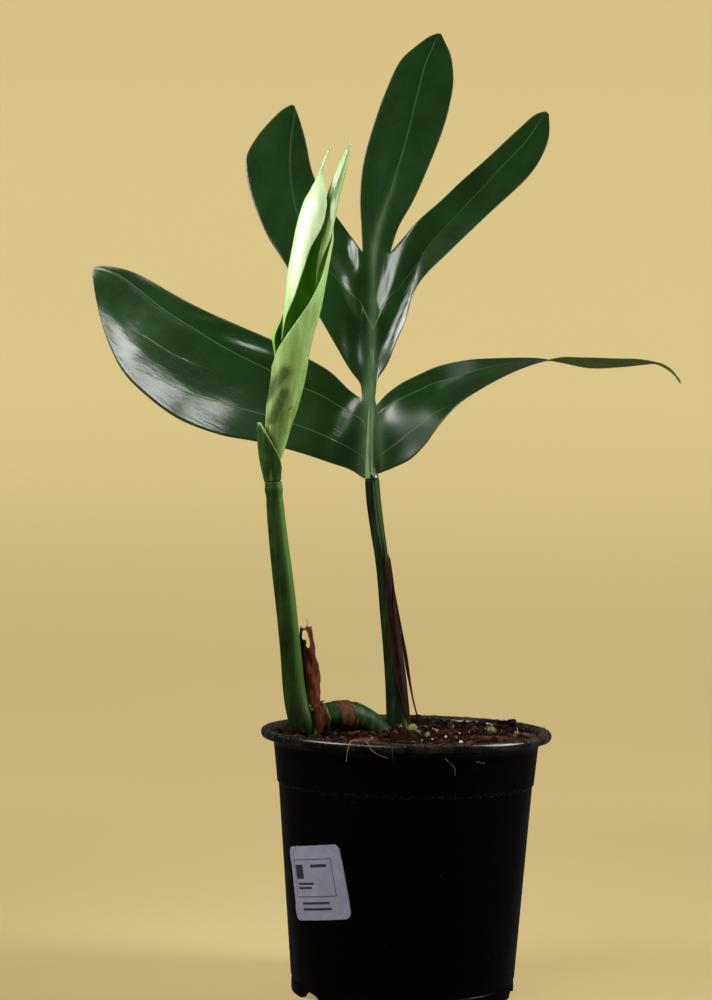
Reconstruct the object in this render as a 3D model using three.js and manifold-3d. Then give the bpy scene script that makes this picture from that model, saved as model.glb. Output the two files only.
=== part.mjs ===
// A young climbing aroid in a round nursery pot: one grown leaf with five lobes, one new leaf still rolled.
// Millimetres, +Z up. The origin is the middle of the pot's underside. The front of the plant faces -Y.
import * as THREE from "three";
import { mergeVertices } from "three/addons/utils/BufferGeometryUtils.js";
import Module from "manifold-3d";

const wasm = await Module();
wasm.setup();

// Driving dimensions
const FIT_GAP = 0.35;
const SEED = 41;

const POT_HEIGHT = 152.5;
const POT_RIM_RADIUS = 85;
const POT_FOOT_RADIUS = 65;
const POT_WALL = 1.5;
const POT_FLOOR_TOP = 7;
const POT_SEGMENTS = 40;
const NOTCH_COUNT = 8;
const NOTCH_FIRST_ANGLE = -56;
const NOTCH_HALF_WIDTH = 10;
const NOTCH_HEIGHT = 5;
const DRAIN_COUNT = 6;
const DRAIN_RADIUS = 4;
const DRAIN_CIRCLE_RADIUS = 44;

const LABEL_WIDTH = 45.5;
const LABEL_HEIGHT = 42;
const LABEL_THICKNESS = 0.6;
const LABEL_ANGLE = -46.7;
const LABEL_CENTRE_HEIGHT = 69.5;
const LABEL_TILT = 9;

const SOIL_TOP = 150;
const SOIL_EDGE_DROP = 2.6;
const SOIL_EDGE_RADIUS = 75.4;
const CRUMB_COUNT = 40;
const CHIP_COUNT = 14;
const CRUMB_SIZES = [1.6, 4];
const CHIP_SIZES = [3, 5.5];
// Lumps heaped against the wall behind the new shoot, as [direction from +X in degrees, size]
const HEAP_LUMPS = [[178, 4.4], [168, 4.8], [158, 4.2], [150, 3.6], [190, 3.4]];
const HEAP_REACH = 67.4;
const HEAP_LIFT = 1.2;

const LEAF_THICKNESS = 0.9;
const ROLL_THICKNESS = 0.9;
const ROLL_PITCH = 1.7;
const DRY_THICKNESS = 0.7;

// The grown blade stands in an upright sheet that leans back with height and is creased along its rachis
const LEAF_DEPTH = 35;
const LEAF_BASE_HEIGHT = 300;
const RACHIS_X = -23;
const LEAN_SLOPE = 0.05;
const LEAN_CURVE = 0.0004;
const CREASE_SLOPE = 0.1;
const CREASE_ROUNDING = 4;
const SIDE_CURVE = 0.0011;

// Sides and steps of the stems, and the points in one turn of a ring round the rhizome
const PETIOLE_FACETS = [12, 18];
const RHIZOME_FACETS = [14, 16];
const THREAD_FACETS = [5, 12];
const RING_ROWS = 3;
const RING_COLUMNS = 18;

const FRONT = new THREE.Vector3(0, -1, 0);

// Axes of stems and shells, each station being [x, y, z, radius]
const NEW_PETIOLE_STATIONS = [
  [-57.7, -12, 139, 5.0],
  [-58.3, -13, 147.4, 6.4],
  [-59.3, -14, 152.7, 7.2],
  [-60.8, -15, 157.4, 7.7],
  [-63.3, -15, 164.9, 7.1],
  [-65.5, -15, 175.3, 6.5],
  [-68.2, -15, 199, 6.1],
  [-71.1, -15, 224, 6.0],
  [-73.7, -15, 244, 5.9],
  [-76.8, -15, 268, 5.4],
  [-79.7, -15, 295.7, 4.9],
];
const MATURE_PETIOLE_STATIONS = [
  [-3.5, 25, 137, 5.4],
  [-4.3, 25, 150, 6.3],
  [-5.0, 25.5, 159, 6.4],
  [-6.4, 27, 177, 5.9],
  [-8.8, 29, 198, 5.2],
  [-11.5, 31, 219, 4.6],
  [-14.2, 33, 242, 4.1],
  [-16.1, 34, 255, 4.0],
  [-18.3, 35, 268, 4.2],
  [-20.9, 35, 286, 4.4],
  [-22, 35, 298, 4.3],
];
const RHIZOME_STATIONS = [
  [-57, -13, 156, 6.4],
  [-49, -9, 159.9, 7.3],
  [-41.8, -7, 160.7, 7.5],
  [-36, -4, 160.5, 7.7],
  [-30.1, 0, 159.6, 7.9],
  [-23.9, 5, 155.7, 7.7],
  [-18.7, 10, 151.5, 7.6],
  [-12.4, 15, 145.7, 7.0],
  [-6, 21, 140, 5.6],
];
const CUP_STATIONS = [
  [-79.8, -15, 296.2, 4.6],
  [-80.4, -15, 299.7, 5.0],
  [-80.8, -15, 304.4, 5.9],
  [-81, -15.5, 313, 7.3],
  [-80.8, -16, 321.7, 8.2],
  [-80.5, -16, 331, 8.6],
];
const CUP_RIM_HEIGHTS = [
  [-180, 319],
  [-130, 322],
  [-85, 330],
  [-50, 330],
  [-15, 325],
  [20, 319],
  [55, 313.5],
  [90, 309.5],
  [135, 311],
  [180, 319],
];
const CUP_POINT = { angle: -82, share: 0.93, reach: 8.6, radius: 0.9, length: 6 };

// Rolled leaf: stations of its outer wrap, with the angles where the rolled sheet starts and ends
const ROLL_STATIONS = [
  [-79.9, -15, 298.4, 3.3, -70, -455],
  [-80.2, -15, 305.5, 4.4, -70, -480],
  [-79.2, -15, 313.1, 6.4, -70, -520],
  [-77.8, -15, 321.8, 7.8, -70, -560],
  [-76.7, -15, 329.3, 8.7, -70, -560],
  [-75.2, -15, 337.5, 9.9, -70, -560],
  [-73.5, -15, 345.6, 10.4, -70, -550],
  [-72, -15, 353.7, 10.7, -70, -530],
  [-70.9, -15, 361.9, 10.7, -70, -500],
  [-70.1, -15, 371.2, 11.1, -68, -430],
  [-69, -15, 379.3, 11.4, -62, -392],
  [-66.9, -15, 387.9, 11.3, -75, -364],
  [-65.4, -15, 394, 11.5, -118, -350],
  [-64.1, -15, 400.3, 11.6, -125, -336],
  [-62, -15, 415.4, 11.9, -125, -311],
  [-59.2, -15, 431.6, 11.7, -125, -300],
  [-57.5, -15, 440, 11.2, -120, -292],
  [-55.2, -15, 446, 9.2, -110, -300],
  [-51.3, -15, 453, 6.4, -105, -335],
  [-47.5, -15, 461, 3.9, -100, -370],
];
const ROLL_TIP_STATIONS = [
  [-48.6, -15, 458, 2.6],
  [-47.2, -15, 462.5, 3.7],
  [-44.3, -15, 472.4, 3.2],
  [-41.9, -15, 480, 2.6],
  [-39.1, -15, 488.7, 1.5],
  [-37.7, -15, 493.4, 0.6],
];
const LIP_HEIGHT = 378;
const LIP_SPREAD = 7;
const LIP_REACH = 2.4;
const FLANK_STATIONS = [
  [-68.4, -15, 376, 8.6, -165, -62],
  [-66.2, -15, 387.5, 9.8, -160, -55],
  [-64.1, -15, 399.4, 10.9, -155, -31],
  [-62, -15, 415.4, 11.4, -150, -13],
  [-59.4, -15, 430.5, 11.5, -150, -2],
  [-57.2, -15, 443.8, 11.2, -140, 20],
  [-54.5, -15, 456, 10.4, -125, 20],
  [-53.4, -15, 462.4, 8.7, -120, 12],
  [-53.5, -15, 468.5, 6.2, -115, 8],
  [-54.2, -15, 473.1, 3.2, -110, 10],
  [-54, -15, 477, 1.6, -110, 10],
  [-52, -15, 483.5, 1.0, -110, 10],
  [-49.8, -15, 488.6, 0.9, -110, 10],
];

// Standing part of the torn sheath beside the new petiole, in front of the rhizome's end
const CATAPHYLL_STATIONS = [
  [-50.3, -18.8, 151.5, 1.6, -110, 70],
  [-50.6, -18.6, 158, 1.7, -110, 75],
  [-51.8, -17.4, 164, 2.1, -120, 90],
  [-53.2, -14, 170, 2.8, -130, 110],
  [-54.3, -11.5, 176, 3.2, -135, 130],
  [-54.9, -10, 182, 3.6, -140, 150],
  [-55.7, -9.5, 188, 3.8, -145, 160],
  [-57, -9, 194, 3.4, -145, 160],
  [-57.8, -9, 199, 3.4, -140, 150],
  [-58.7, -9, 205, 3.2, -120, 130],
  [-59.5, -9, 211, 2.7, -70, 110],
];
// Shares of the rhizome's length that the torn collar and the dry band cover
const COLLAR_SPAN = [0.05, 0.155];
const BAND_SPAN = [0.29, 0.45];
const BAND_SLANT = 0.035;

// Dried strip down the grown petiole: position along the petiole, start angle, end angle, stand-off
const STRIP_STATIONS = [
  [0.17, 20, 95, 0.9],
  [0.3, 12, 110, 1.1],
  [0.4, 8, 120, 1.4],
  [0.5, 6, 125, 1.6],
  [0.6, 18, 120, 1.5],
  [0.66, 30, 110, 1.2],
  [0.7, 45, 90, 0.8],
];
const THREAD_STATIONS = [
  [-9.8, 31, 240, 0.9],
  [-6.6, 27, 226, 0.8],
  [-3.1, 24, 208, 0.8],
  [-0.6, 22, 194, 0.8],
  [2.2, 20, 178, 0.8],
  [4.5, 19, 167, 0.8],
  [7.4, 18, 156, 0.8],
  [8.2, 18, 151.8, 0.8],
];

// Outlines of the lobes as [x, z], from the rachis to the tip; the twisted lobe has [x, y, z]
const LOWER_LEFT_BELOW = [
  [-27, 299], [-35, 304], [-47, 308], [-66, 314], [-91, 320], [-114, 324], [-139, 333],
  [-157, 345], [-174, 361], [-185, 381], [-192, 402], [-195, 417], [-196, 424],
];
const LOWER_LEFT_ABOVE = [
  [-29, 347], [-36, 352], [-48, 363], [-62, 371], [-84, 382], [-103, 390], [-128, 401],
  [-147, 411], [-159, 418], [-172, 424], [-185, 427], [-194, 427],
];
const UPPER_LEFT_BELOW = [
  [-29, 350], [-30, 356], [-36, 364], [-47, 382], [-59, 402], [-71, 419], [-79, 432], [-87, 444],
  [-94, 459], [-99, 472], [-102, 487], [-102, 495], [-97, 506], [-87, 519], [-80, 526], [-75, 529],
];
const UPPER_LEFT_ABOVE = [
  [-30, 437], [-35, 444], [-43, 455], [-51, 466], [-60, 483], [-63, 493], [-66, 507], [-70, 520],
  [-73, 528],
];
const TOP_LEFT_EDGE = [
  [-30, 437], [-31, 453], [-32, 469], [-31, 488], [-26, 511], [-17, 539], [-8, 559], [1, 568],
  [10, 575], [15, 577],
];
const TOP_RIGHT_EDGE = [
  [-13, 437], [-8, 453], [1, 470], [11, 494], [19, 516], [23, 532], [25, 546], [23, 563], [19, 572],
  [17, 576.5],
];
const UPPER_RIGHT_ABOVE = [
  [-13, 437], [-7, 444], [4, 457], [17, 469], [29, 481], [48, 499], [66, 517], [76, 526], [82, 528],
];
const UPPER_RIGHT_BELOW = [
  [-21, 347], [-20, 358], [-14, 368], [-9, 381], [-3, 396], [0, 408], [6, 420], [24, 439], [47, 462],
  [72, 487], [80, 500], [84, 512], [84, 526],
];
const LOWER_RIGHT_FAR = [
  [-20, 37.8, 343.4], [-15, 38, 349.3], [-6, 40, 356.5], [6, 46, 363], [18, 52, 368.5], [37, 58, 372.9],
  [55, 60, 374.3], [80, 59, 374.5], [92, 58, 372.2], [110, 55, 368.8], [128, 49, 369.3],
  [142, 41, 370.6], [148, 38, 370.8], [153, 36.5, 368.5], [159, 36, 364], [163, 35.5, 358.8],
];
const LOWER_RIGHT_NEAR = [
  [-17, 35, 302.5], [-8, 31, 306.3], [0.4, 26, 310.7], [9, 20, 319.4], [17.6, 14, 331.8], [28.7, 9, 343.9],
  [40.6, 7, 352.1], [52.3, 7, 358.9], [64, 8, 364.5], [76, 10, 369], [88, 12, 372.2], [100, 14, 372.5],
  [124, 21, 372.7], [137, 27, 372.9], [147, 33, 371.9], [152, 34, 370.6], [157, 34, 367.6],
  [162.4, 34, 361.4],
];
const LOBE_COLUMNS = 6;
const CORE_COLUMNS = 6;
const MIDRIB_STATIONS = [
  [-22.2, 35.2, 298.8, 4.2],
  [-22.6, 35.4, 303, 3.6],
  [-23, 35.8, 312, 3.0],
  [-23.2, 37.2, 333, 2.6],
  [-23.3, 38.8, 352, 2.1],
  [-23.5, 41.7, 377, 1.6],
  [-23.6, 45, 401, 1.2],
  [-23.7, 49.6, 430, 0.9],
  [-22, 53.7, 452, 0.7],
];

// Solid tools
const bare = (geometry) => {
  const copy = geometry.clone();
  copy.deleteAttribute("normal");
  copy.deleteAttribute("uv");
  return mergeVertices(copy, 1e-4);
};

function solidOf(geometry) {
  const merged = bare(geometry);
  const corners = [...merged.index.array];
  const triVerts = [];
  for (let i = 0; i < corners.length; i += 3) {
    const [a, b, c] = corners.slice(i, i + 3);
    if (a !== b && b !== c && c !== a) triVerts.push(a, b, c);
  }
  const mesh = new wasm.Mesh({
    numProp: 3,
    vertProperties: merged.attributes.position.array,
    triVerts: new Uint32Array(triVerts),
  });
  return new wasm.Manifold(mesh);
}

function geometryOf(solid) {
  const mesh = solid.getMesh();
  const geometry = new THREE.BufferGeometry();
  geometry.setAttribute("position", new THREE.BufferAttribute(mesh.vertProperties, 3));
  geometry.setIndex(new THREE.BufferAttribute(mesh.triVerts, 1));
  return geometry;
}

function largestBody(solid) {
  const bodies = solid.decompose();
  return bodies.reduce((best, body) => (body.volume() > best.volume() ? body : best));
}

const interpolate = (table, key, column) => {
  const after = table.findIndex((row) => row[0] >= key);
  if (after <= 0) return table[after < 0 ? table.length - 1 : 0][column];
  const [low, high] = [table[after - 1], table[after]];
  return THREE.MathUtils.mapLinear(key, low[0], high[0], low[column], high[column]);
};

// A stem's axis through its stations, with a ring of points round it; 0 degrees is the front, 90 the right
class Stem {
  constructor(stations) {
    this.stations = stations;
    this.axis = new THREE.CatmullRomCurve3(stations.map(([x, y, z]) => new THREE.Vector3(x, y, z)));
  }

  valueAt(t, column) {
    const knots = this.stations.map((station, i) => new THREE.Vector2(i, station[column]));
    return new THREE.SplineCurve(knots).getPoint(t).y;
  }

  pointAt(t, degrees, radius) {
    const along = this.axis.getTangent(t);
    const right = new THREE.Vector3().crossVectors(along, FRONT).normalize();
    const front = new THREE.Vector3().crossVectors(right, along);
    const angle = THREE.MathUtils.degToRad(degrees);
    return this.axis
      .getPoint(t)
      .addScaledVector(front, radius * Math.cos(angle))
      .addScaledVector(right, radius * Math.sin(angle));
  }
}

// A solid stem: a cylinder bent along the axis and swollen to the stations' radii
function limb(stations, [sides, steps], clearance = 0) {
  const stem = new Stem(stations);
  const geometry = bare(new THREE.CylinderGeometry(1, 1, 1, sides, steps));
  const spots = geometry.attributes.position;
  for (let i = 0; i < spots.count; i++) {
    const t = THREE.MathUtils.clamp(spots.getY(i) + 0.5, 0, 1);
    const reach = Math.hypot(spots.getX(i), spots.getZ(i));
    const degrees = THREE.MathUtils.radToDeg(Math.atan2(spots.getX(i), spots.getZ(i)));
    const point = stem.pointAt(t, degrees, reach * (stem.valueAt(t, 3) + clearance));
    spots.setXYZ(i, point.x, point.y, point.z);
  }
  return geometry;
}

// A sheet of points in rows and columns; a closed sheet's last column is its first
function grid(rows, columns, pointAt, closed = false) {
  const wide = closed ? columns : columns + 1;
  const points = [];
  const faces = [];
  for (let i = 0; i <= rows; i++) {
    for (let j = 0; j < wide; j++) points.push(pointAt(i, j));
  }
  const at = (i, j) => i * wide + (j % wide);
  for (let i = 0; i < rows; i++) {
    for (let j = 0; j < columns; j++) {
      faces.push([at(i, j), at(i + 1, j), at(i + 1, j + 1)], [at(i, j), at(i + 1, j + 1), at(i, j + 1)]);
    }
  }
  return { points, faces };
}

function joinGrids(grids) {
  const points = [];
  const faces = [];
  const known = new Map();
  for (const sheet of grids) {
    const index = sheet.points.map((point) => {
      const key = point.toArray().map((value) => Math.round(value * 50)).join();
      if (!known.has(key)) known.set(key, points.push(point) - 1);
      return known.get(key);
    });
    for (const face of sheet.faces) faces.push(face.map((corner) => index[corner]));
  }
  return { points, faces };
}

// A closed plate: the sheet set off half its thickness to both sides, with a wall along its free edges
function thicken({ points, faces }, thickness) {
  const normals = points.map(() => new THREE.Vector3());
  for (const [a, b, c] of faces) {
    const u = points[b].clone().sub(points[a]);
    const v = points[c].clone().sub(points[a]);
    const normal = u.cross(v);
    for (const corner of [a, b, c]) normals[corner].add(normal);
  }
  for (const normal of normals) normal.normalize();
  const offset = (side) => points.map((point, i) => point.clone().addScaledVector(normals[i], side));
  const both = [...offset(thickness / 2), ...offset(-thickness / 2)];
  const count = points.length;
  const uses = new Map();
  for (const [a, b, c] of faces) {
    for (const [from, to] of [[a, b], [b, c], [c, a]]) uses.set(`${from} ${to}`, [from, to]);
  }
  const index = faces.flatMap(([a, b, c]) => [a, b, c, a + count, c + count, b + count]);
  for (const [from, to] of uses.values()) {
    if (uses.has(`${to} ${from}`)) continue;
    index.push(to, from, from + count, to, from + count, to + count);
  }
  const geometry = new THREE.BufferGeometry().setFromPoints(both);
  geometry.setIndex(index);
  return geometry;
}

// Pot
function potProfile() {
  const foot = POT_FOOT_RADIUS;
  const rim = POT_RIM_RADIUS;
  return [
    [0, 0], [20, 0], [22, 4], [foot - 5.5, 4], [foot - 3.5, 0], [foot, 0],
    [foot, 6.4], [foot - 0.5, 7], [foot - 0.5, 8.2], [foot + 0.4, 9],
    [74.2, 120.6], [75.2, 122], [75.4, 124.6], [76.9, 139], [77.4, 143.5], [78.6, 145.6], [82, 147],
    [rim - 0.6, 148], [rim, 149.8], [rim - 0.4, 151.6], [rim - 2, POT_HEIGHT], [80.5, POT_HEIGHT - 0.2],
    [79, 151], [78.2, 148.6], [75.9, 143], [73.9, 124], [74.2 - POT_WALL + 0.1, 121],
    [foot + 0.4 - POT_WALL, 9.5], [foot - 2.5, POT_FLOOR_TOP], [0, POT_FLOOR_TOP],
  ];
}

function latheUpright(profile, segments) {
  const outline = profile.map(([radius, height]) => new THREE.Vector2(radius, height));
  return new THREE.LatheGeometry(outline, segments).rotateX(Math.PI / 2);
}

function drainNotch(degrees) {
  const notch = new THREE.CylinderGeometry(1, 1, 20, 16);
  notch.scale(NOTCH_HALF_WIDTH, 1, NOTCH_HEIGHT);
  notch.translate(0, -POT_FOOT_RADIUS, 0);
  return notch.rotateZ(THREE.MathUtils.degToRad(degrees));
}

function drainHole(index) {
  const hole = new THREE.CylinderGeometry(DRAIN_RADIUS, DRAIN_RADIUS, 10, 14).rotateX(Math.PI / 2);
  hole.translate(DRAIN_CIRCLE_RADIUS, 0, 5);
  return hole.rotateZ((index * 2 * Math.PI) / DRAIN_COUNT);
}

function potGeometry() {
  let pot = solidOf(latheUpright(potProfile(), POT_SEGMENTS));
  for (let i = 0; i < NOTCH_COUNT; i++) {
    pot = pot.subtract(solidOf(drainNotch(NOTCH_FIRST_ANGLE + (i * 360) / NOTCH_COUNT)));
  }
  for (let i = 0; i < DRAIN_COUNT; i++) pot = pot.subtract(solidOf(drainHole(i)));
  return geometryOf(pot);
}

// Label, curved round the wall
function labelGeometry() {
  const columns = 8;
  const rows = 4;
  const wallRadius = (height) => THREE.MathUtils.mapLinear(height, 9, 120.6, POT_FOOT_RADIUS + 0.4, 74.2);
  const tilt = THREE.MathUtils.degToRad(LABEL_TILT);
  const sheet = grid(rows, columns, (i, j) => {
    const isCorner = (i === 0 || i === rows) && (j === 0 || j === columns);
    const trim = isCorner ? 0.97 : 1;
    const across = (j / columns - 0.5) * LABEL_WIDTH * trim;
    const rise = (i / rows - 0.5) * LABEL_HEIGHT * trim;
    const height = LABEL_CENTRE_HEIGHT + across * Math.sin(tilt) + rise * Math.cos(tilt);
    const radius = wallRadius(height) + FIT_GAP + LABEL_THICKNESS / 2;
    const sweep = (across * Math.cos(tilt) - rise * Math.sin(tilt)) / radius;
    const angle = THREE.MathUtils.degToRad(LABEL_ANGLE) + sweep;
    return new THREE.Vector3(radius * Math.sin(angle), -radius * Math.cos(angle), height);
  });
  return thicken(sheet, LABEL_THICKNESS);
}

// Soil
const soilHeight = (radius, angle) => {
  const dome = SOIL_TOP - SOIL_EDGE_DROP * (radius / SOIL_EDGE_RADIUS) ** 2;
  const lumps = Math.sin(3 * angle + radius / 9) + Math.sin(5 * angle - radius / 6 + 1);
  return dome + 0.5 * lumps * Math.sin((Math.PI * radius) / SOIL_EDGE_RADIUS);
};

function soilBody() {
  const segments = POT_SEGMENTS / 2;
  const rings = [66, 55, 44, 33, 22, 11];
  const wall = [
    [0, POT_FLOOR_TOP + FIT_GAP], [POT_FOOT_RADIUS - 3.2, POT_FLOOR_TOP + FIT_GAP], [63.4, 9.9],
    [72.3, 121.2], [73.4, 124.2], [75.3, 142.8], [SOIL_EDGE_RADIUS, SOIL_TOP - SOIL_EDGE_DROP],
  ];
  const profile = [...wall, ...rings.map((radius) => [radius, SOIL_TOP]), [0, SOIL_TOP]];
  const geometry = bare(latheUpright(profile, segments));
  const spots = geometry.attributes.position;
  for (let i = 0; i < spots.count; i++) {
    if (spots.getZ(i) < SOIL_TOP - 0.01) continue;
    const radius = Math.hypot(spots.getX(i), spots.getY(i));
    spots.setZ(i, soilHeight(radius, Math.atan2(spots.getY(i), spots.getX(i))));
  }
  return solidOf(geometry);
}

// One lump of soil, part sunk in the surface
function lump(shape, reach, angle, size, lift) {
  const random = () => THREE.MathUtils.seededRandom();
  shape.scale(size * (0.8 + 0.5 * random()), size * (0.6 + 0.5 * random()), size * (0.45 + 0.35 * random()));
  shape.rotateX((random() - 0.5) * 0.8);
  shape.rotateZ(random() * Math.PI);
  const height = soilHeight(reach, angle) + lift;
  return solidOf(shape.translate(reach * Math.cos(angle), reach * Math.sin(angle), height));
}

function soilGeometry(rooms) {
  THREE.MathUtils.seededRandom(SEED);
  const random = () => THREE.MathUtils.seededRandom();
  let soil = soilBody();
  for (let i = 0; i < CRUMB_COUNT; i++) {
    const size = THREE.MathUtils.lerp(...CRUMB_SIZES, random() ** 2);
    const reach = (SOIL_EDGE_RADIUS - size * 1.4) * Math.sqrt(random());
    soil = soil.add(lump(new THREE.IcosahedronGeometry(1, 0), reach, random() * 2 * Math.PI, size, 0.2));
  }
  for (let i = 0; i < CHIP_COUNT; i++) {
    const size = THREE.MathUtils.lerp(...CHIP_SIZES, random());
    const reach = (SOIL_EDGE_RADIUS - size * 1.4) * Math.sqrt(random());
    soil = soil.add(lump(new THREE.BoxGeometry(2, 1, 0.9), reach, random() * 2 * Math.PI, size, 0.3));
  }
  for (const [degrees, size] of HEAP_LUMPS) {
    const angle = THREE.MathUtils.degToRad(degrees);
    soil = soil.add(lump(new THREE.IcosahedronGeometry(1, 0), HEAP_REACH, angle, size, HEAP_LIFT));
  }
  for (const room of rooms) soil = soil.subtract(room);
  return geometryOf(largestBody(soil));
}

// Grown leaf
const leafDepth = (x, z) => {
  const rise = Math.max(z - LEAF_BASE_HEIGHT, 0);
  const side = x - RACHIS_X;
  const crease = CREASE_SLOPE * (Math.hypot(side, CREASE_ROUNDING) - CREASE_ROUNDING);
  return LEAF_DEPTH + LEAN_SLOPE * rise + LEAN_CURVE * rise ** 2 - crease + SIDE_CURVE * side ** 2;
};

const onLeaf = (x, z) => new THREE.Vector3(x, leafDepth(x, z), z);

const smoothCurve = (points) => {
  const spots = points.map((point) => new THREE.Vector3(...point));
  return new THREE.CatmullRomCurve3(spots);
};

// One lobe between two edges that run from the rachis to the tip; its margins stand forward by the channel
function lobe({ edgeA, edgeB, base, rows, channel, twisted }) {
  const flat = ([x, z]) => [x, 0, z];
  const curveA = smoothCurve(twisted ? edgeA : edgeA.map(flat));
  const curveB = smoothCurve(twisted ? edgeB : edgeB.map(flat));
  const columns = base.length - 1;
  return grid(rows, columns, (i, j) => {
    if (i === 0) return base[j];
    const along = 1 - (1 - i / rows) ** 1.35;
    const across = j / columns;
    const point = curveA.getPointAt(along).lerp(curveB.getPointAt(along), across);
    const startGap = base[j].clone().sub(curveA.getPoint(0).lerp(curveB.getPoint(0), across));
    if (!twisted) startGap.y = 0;
    point.addScaledVector(startGap, (1 - along) ** 3);
    if (!twisted) point.y = leafDepth(point.x, point.z);
    const rootFade = THREE.MathUtils.smoothstep(along, 0, 0.3);
    point.y -= channel * rootFade * (1 - along ** 3) * ((2 * across - 1) ** 2 - 0.5);
    return point;
  });
}

function leafSheet() {
  const baseOf = ([from], [to]) =>
    Array.from({ length: LOBE_COLUMNS + 1 }, (_, k) => {
      const share = k / LOBE_COLUMNS;
      return onLeaf(
        THREE.MathUtils.lerp(from[0], to[0], share),
        THREE.MathUtils.lerp(from.at(-1), to.at(-1), share),
      );
    });
  const lowerLeft = baseOf(LOWER_LEFT_BELOW, LOWER_LEFT_ABOVE);
  const upperLeft = baseOf(UPPER_LEFT_BELOW, UPPER_LEFT_ABOVE);
  const upperRight = baseOf(UPPER_RIGHT_ABOVE, UPPER_RIGHT_BELOW);
  const lowerRight = baseOf(LOWER_RIGHT_FAR, LOWER_RIGHT_NEAR);
  const left = [...lowerLeft, ...upperLeft];
  const right = [...[...lowerRight].reverse(), ...[...upperRight].reverse()];
  const core = grid(left.length - 1, CORE_COLUMNS, (i, j) => {
    const point = left[i].clone().lerp(right[i], j / CORE_COLUMNS);
    if (j > 0 && j < CORE_COLUMNS) point.y = leafDepth(point.x, point.z);
    return point;
  });
  const top = core.points.slice(-(CORE_COLUMNS + 1));
  const lobes = [
    { edgeA: LOWER_LEFT_BELOW, edgeB: LOWER_LEFT_ABOVE, base: lowerLeft, rows: 20, channel: 6 },
    { edgeA: UPPER_LEFT_BELOW, edgeB: UPPER_LEFT_ABOVE, base: upperLeft, rows: 16, channel: 4 },
    { edgeA: TOP_LEFT_EDGE, edgeB: TOP_RIGHT_EDGE, base: top, rows: 12, channel: 4 },
    { edgeA: UPPER_RIGHT_ABOVE, edgeB: UPPER_RIGHT_BELOW, base: upperRight, rows: 16, channel: 4 },
    {
      edgeA: LOWER_RIGHT_FAR,
      edgeB: LOWER_RIGHT_NEAR,
      base: lowerRight,
      rows: 22,
      channel: 3,
      twisted: true,
    },
  ];
  return joinGrids([core, ...lobes.map(lobe)]);
}

function matureLeafGeometry() {
  const blade = solidOf(thicken(leafSheet(), LEAF_THICKNESS));
  return geometryOf(blade.add(solidOf(limb(MIDRIB_STATIONS, [8, 12]))));
}

// Rolled leaf: a sheet wound from a start to an end angle, whose turns lie a pitch apart; its first turn
// flares out to a lip where the outer wrap ends
function woundSheet(stations, rows, columns, lipReach = 0) {
  const stem = new Stem(stations);
  return grid(rows, columns, (i, j) => {
    const t = i / rows;
    const start = stem.valueAt(t, 4);
    const end = stem.valueAt(t, 5);
    const angle = THREE.MathUtils.lerp(start, end, j / columns);
    const inward = end < start ? (ROLL_PITCH * (angle - end)) / 360 : 0;
    const height = stem.axis.getPoint(t).z;
    const lip = lipReach * Math.exp(-(((height - LIP_HEIGHT) / LIP_SPREAD) ** 2));
    const flare = lip * THREE.MathUtils.smoothstep(angle, -170, -95);
    return stem.pointAt(t, angle, stem.valueAt(t, 3) - ROLL_THICKNESS / 2 - inward + flare);
  });
}

function furledLeafGeometry() {
  const wrap = solidOf(thicken(woundSheet(ROLL_STATIONS, 32, 18, LIP_REACH), ROLL_THICKNESS));
  const flank = solidOf(thicken(woundSheet(FLANK_STATIONS, 18, 6), ROLL_THICKNESS));
  const tip = solidOf(limb(ROLL_TIP_STATIONS, [8, 8]));
  return geometryOf(largestBody(wrap.add(flank).add(tip)));
}

// Short flared collar at the top of the new petiole, with an oblique rim and one thin point
function cupGeometry(furledLeaf) {
  const stem = new Stem(CUP_STATIONS);
  const rows = 6;
  const columns = 20;
  const bottom = CUP_STATIONS[0][2];
  const top = CUP_STATIONS.at(-1)[2];
  const sheet = grid(rows, columns, (i, j) => {
    const degrees = (360 * j) / columns - 180;
    const rim = interpolate(CUP_RIM_HEIGHTS, degrees, 1);
    const t = ((i / rows) * (rim - bottom)) / (top - bottom);
    return stem.pointAt(t, degrees, stem.valueAt(t, 3));
  }, true);
  const cup = solidOf(thicken(sheet, LEAF_THICKNESS));
  const rimPoint = stem.pointAt(CUP_POINT.share, CUP_POINT.angle, CUP_POINT.reach);
  const point = new THREE.ConeGeometry(CUP_POINT.radius, CUP_POINT.length, 6);
  point.rotateX(Math.PI / 2).translate(...rimPoint);
  const clearance = solidOf(furledLeaf);
  return geometryOf(largestBody(cup.add(solidOf(point)).subtract(clearance)));
}

// Torn sheath: a ring round the rhizome's end and the strip that stands up from it
function cataphyllGeometry() {
  const rhizome = new Stem(RHIZOME_STATIONS);
  const [from, to] = COLLAR_SPAN;
  const ring = grid(RING_ROWS, RING_COLUMNS, (i, j) => {
    const fray = i < RING_ROWS ? 0 : 0.012 * Math.sin(j * 2.4) + 0.008 * Math.sin(j * 5.1);
    const t = THREE.MathUtils.lerp(from, to + fray, i / RING_ROWS);
    const degrees = (-360 * j) / RING_COLUMNS;
    return rhizome.pointAt(t, degrees, rhizome.valueAt(t, 3) + FIT_GAP + DRY_THICKNESS);
  }, true);
  const stand = new Stem(CATAPHYLL_STATIONS);
  const rows = 18;
  const columns = 7;
  const strip = grid(rows, columns, (i, j) => {
    const t = i / rows;
    const angle = THREE.MathUtils.lerp(stand.valueAt(t, 5), stand.valueAt(t, 4), j / columns);
    const crumple = 1 + 0.06 * Math.sin(j * 2.1 + i * 0.9);
    return stand.pointAt(t, angle, stand.valueAt(t, 3) * crumple);
  });
  return solidOf(thicken(ring, DRY_THICKNESS)).add(solidOf(thicken(strip, DRY_THICKNESS)));
}

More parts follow.
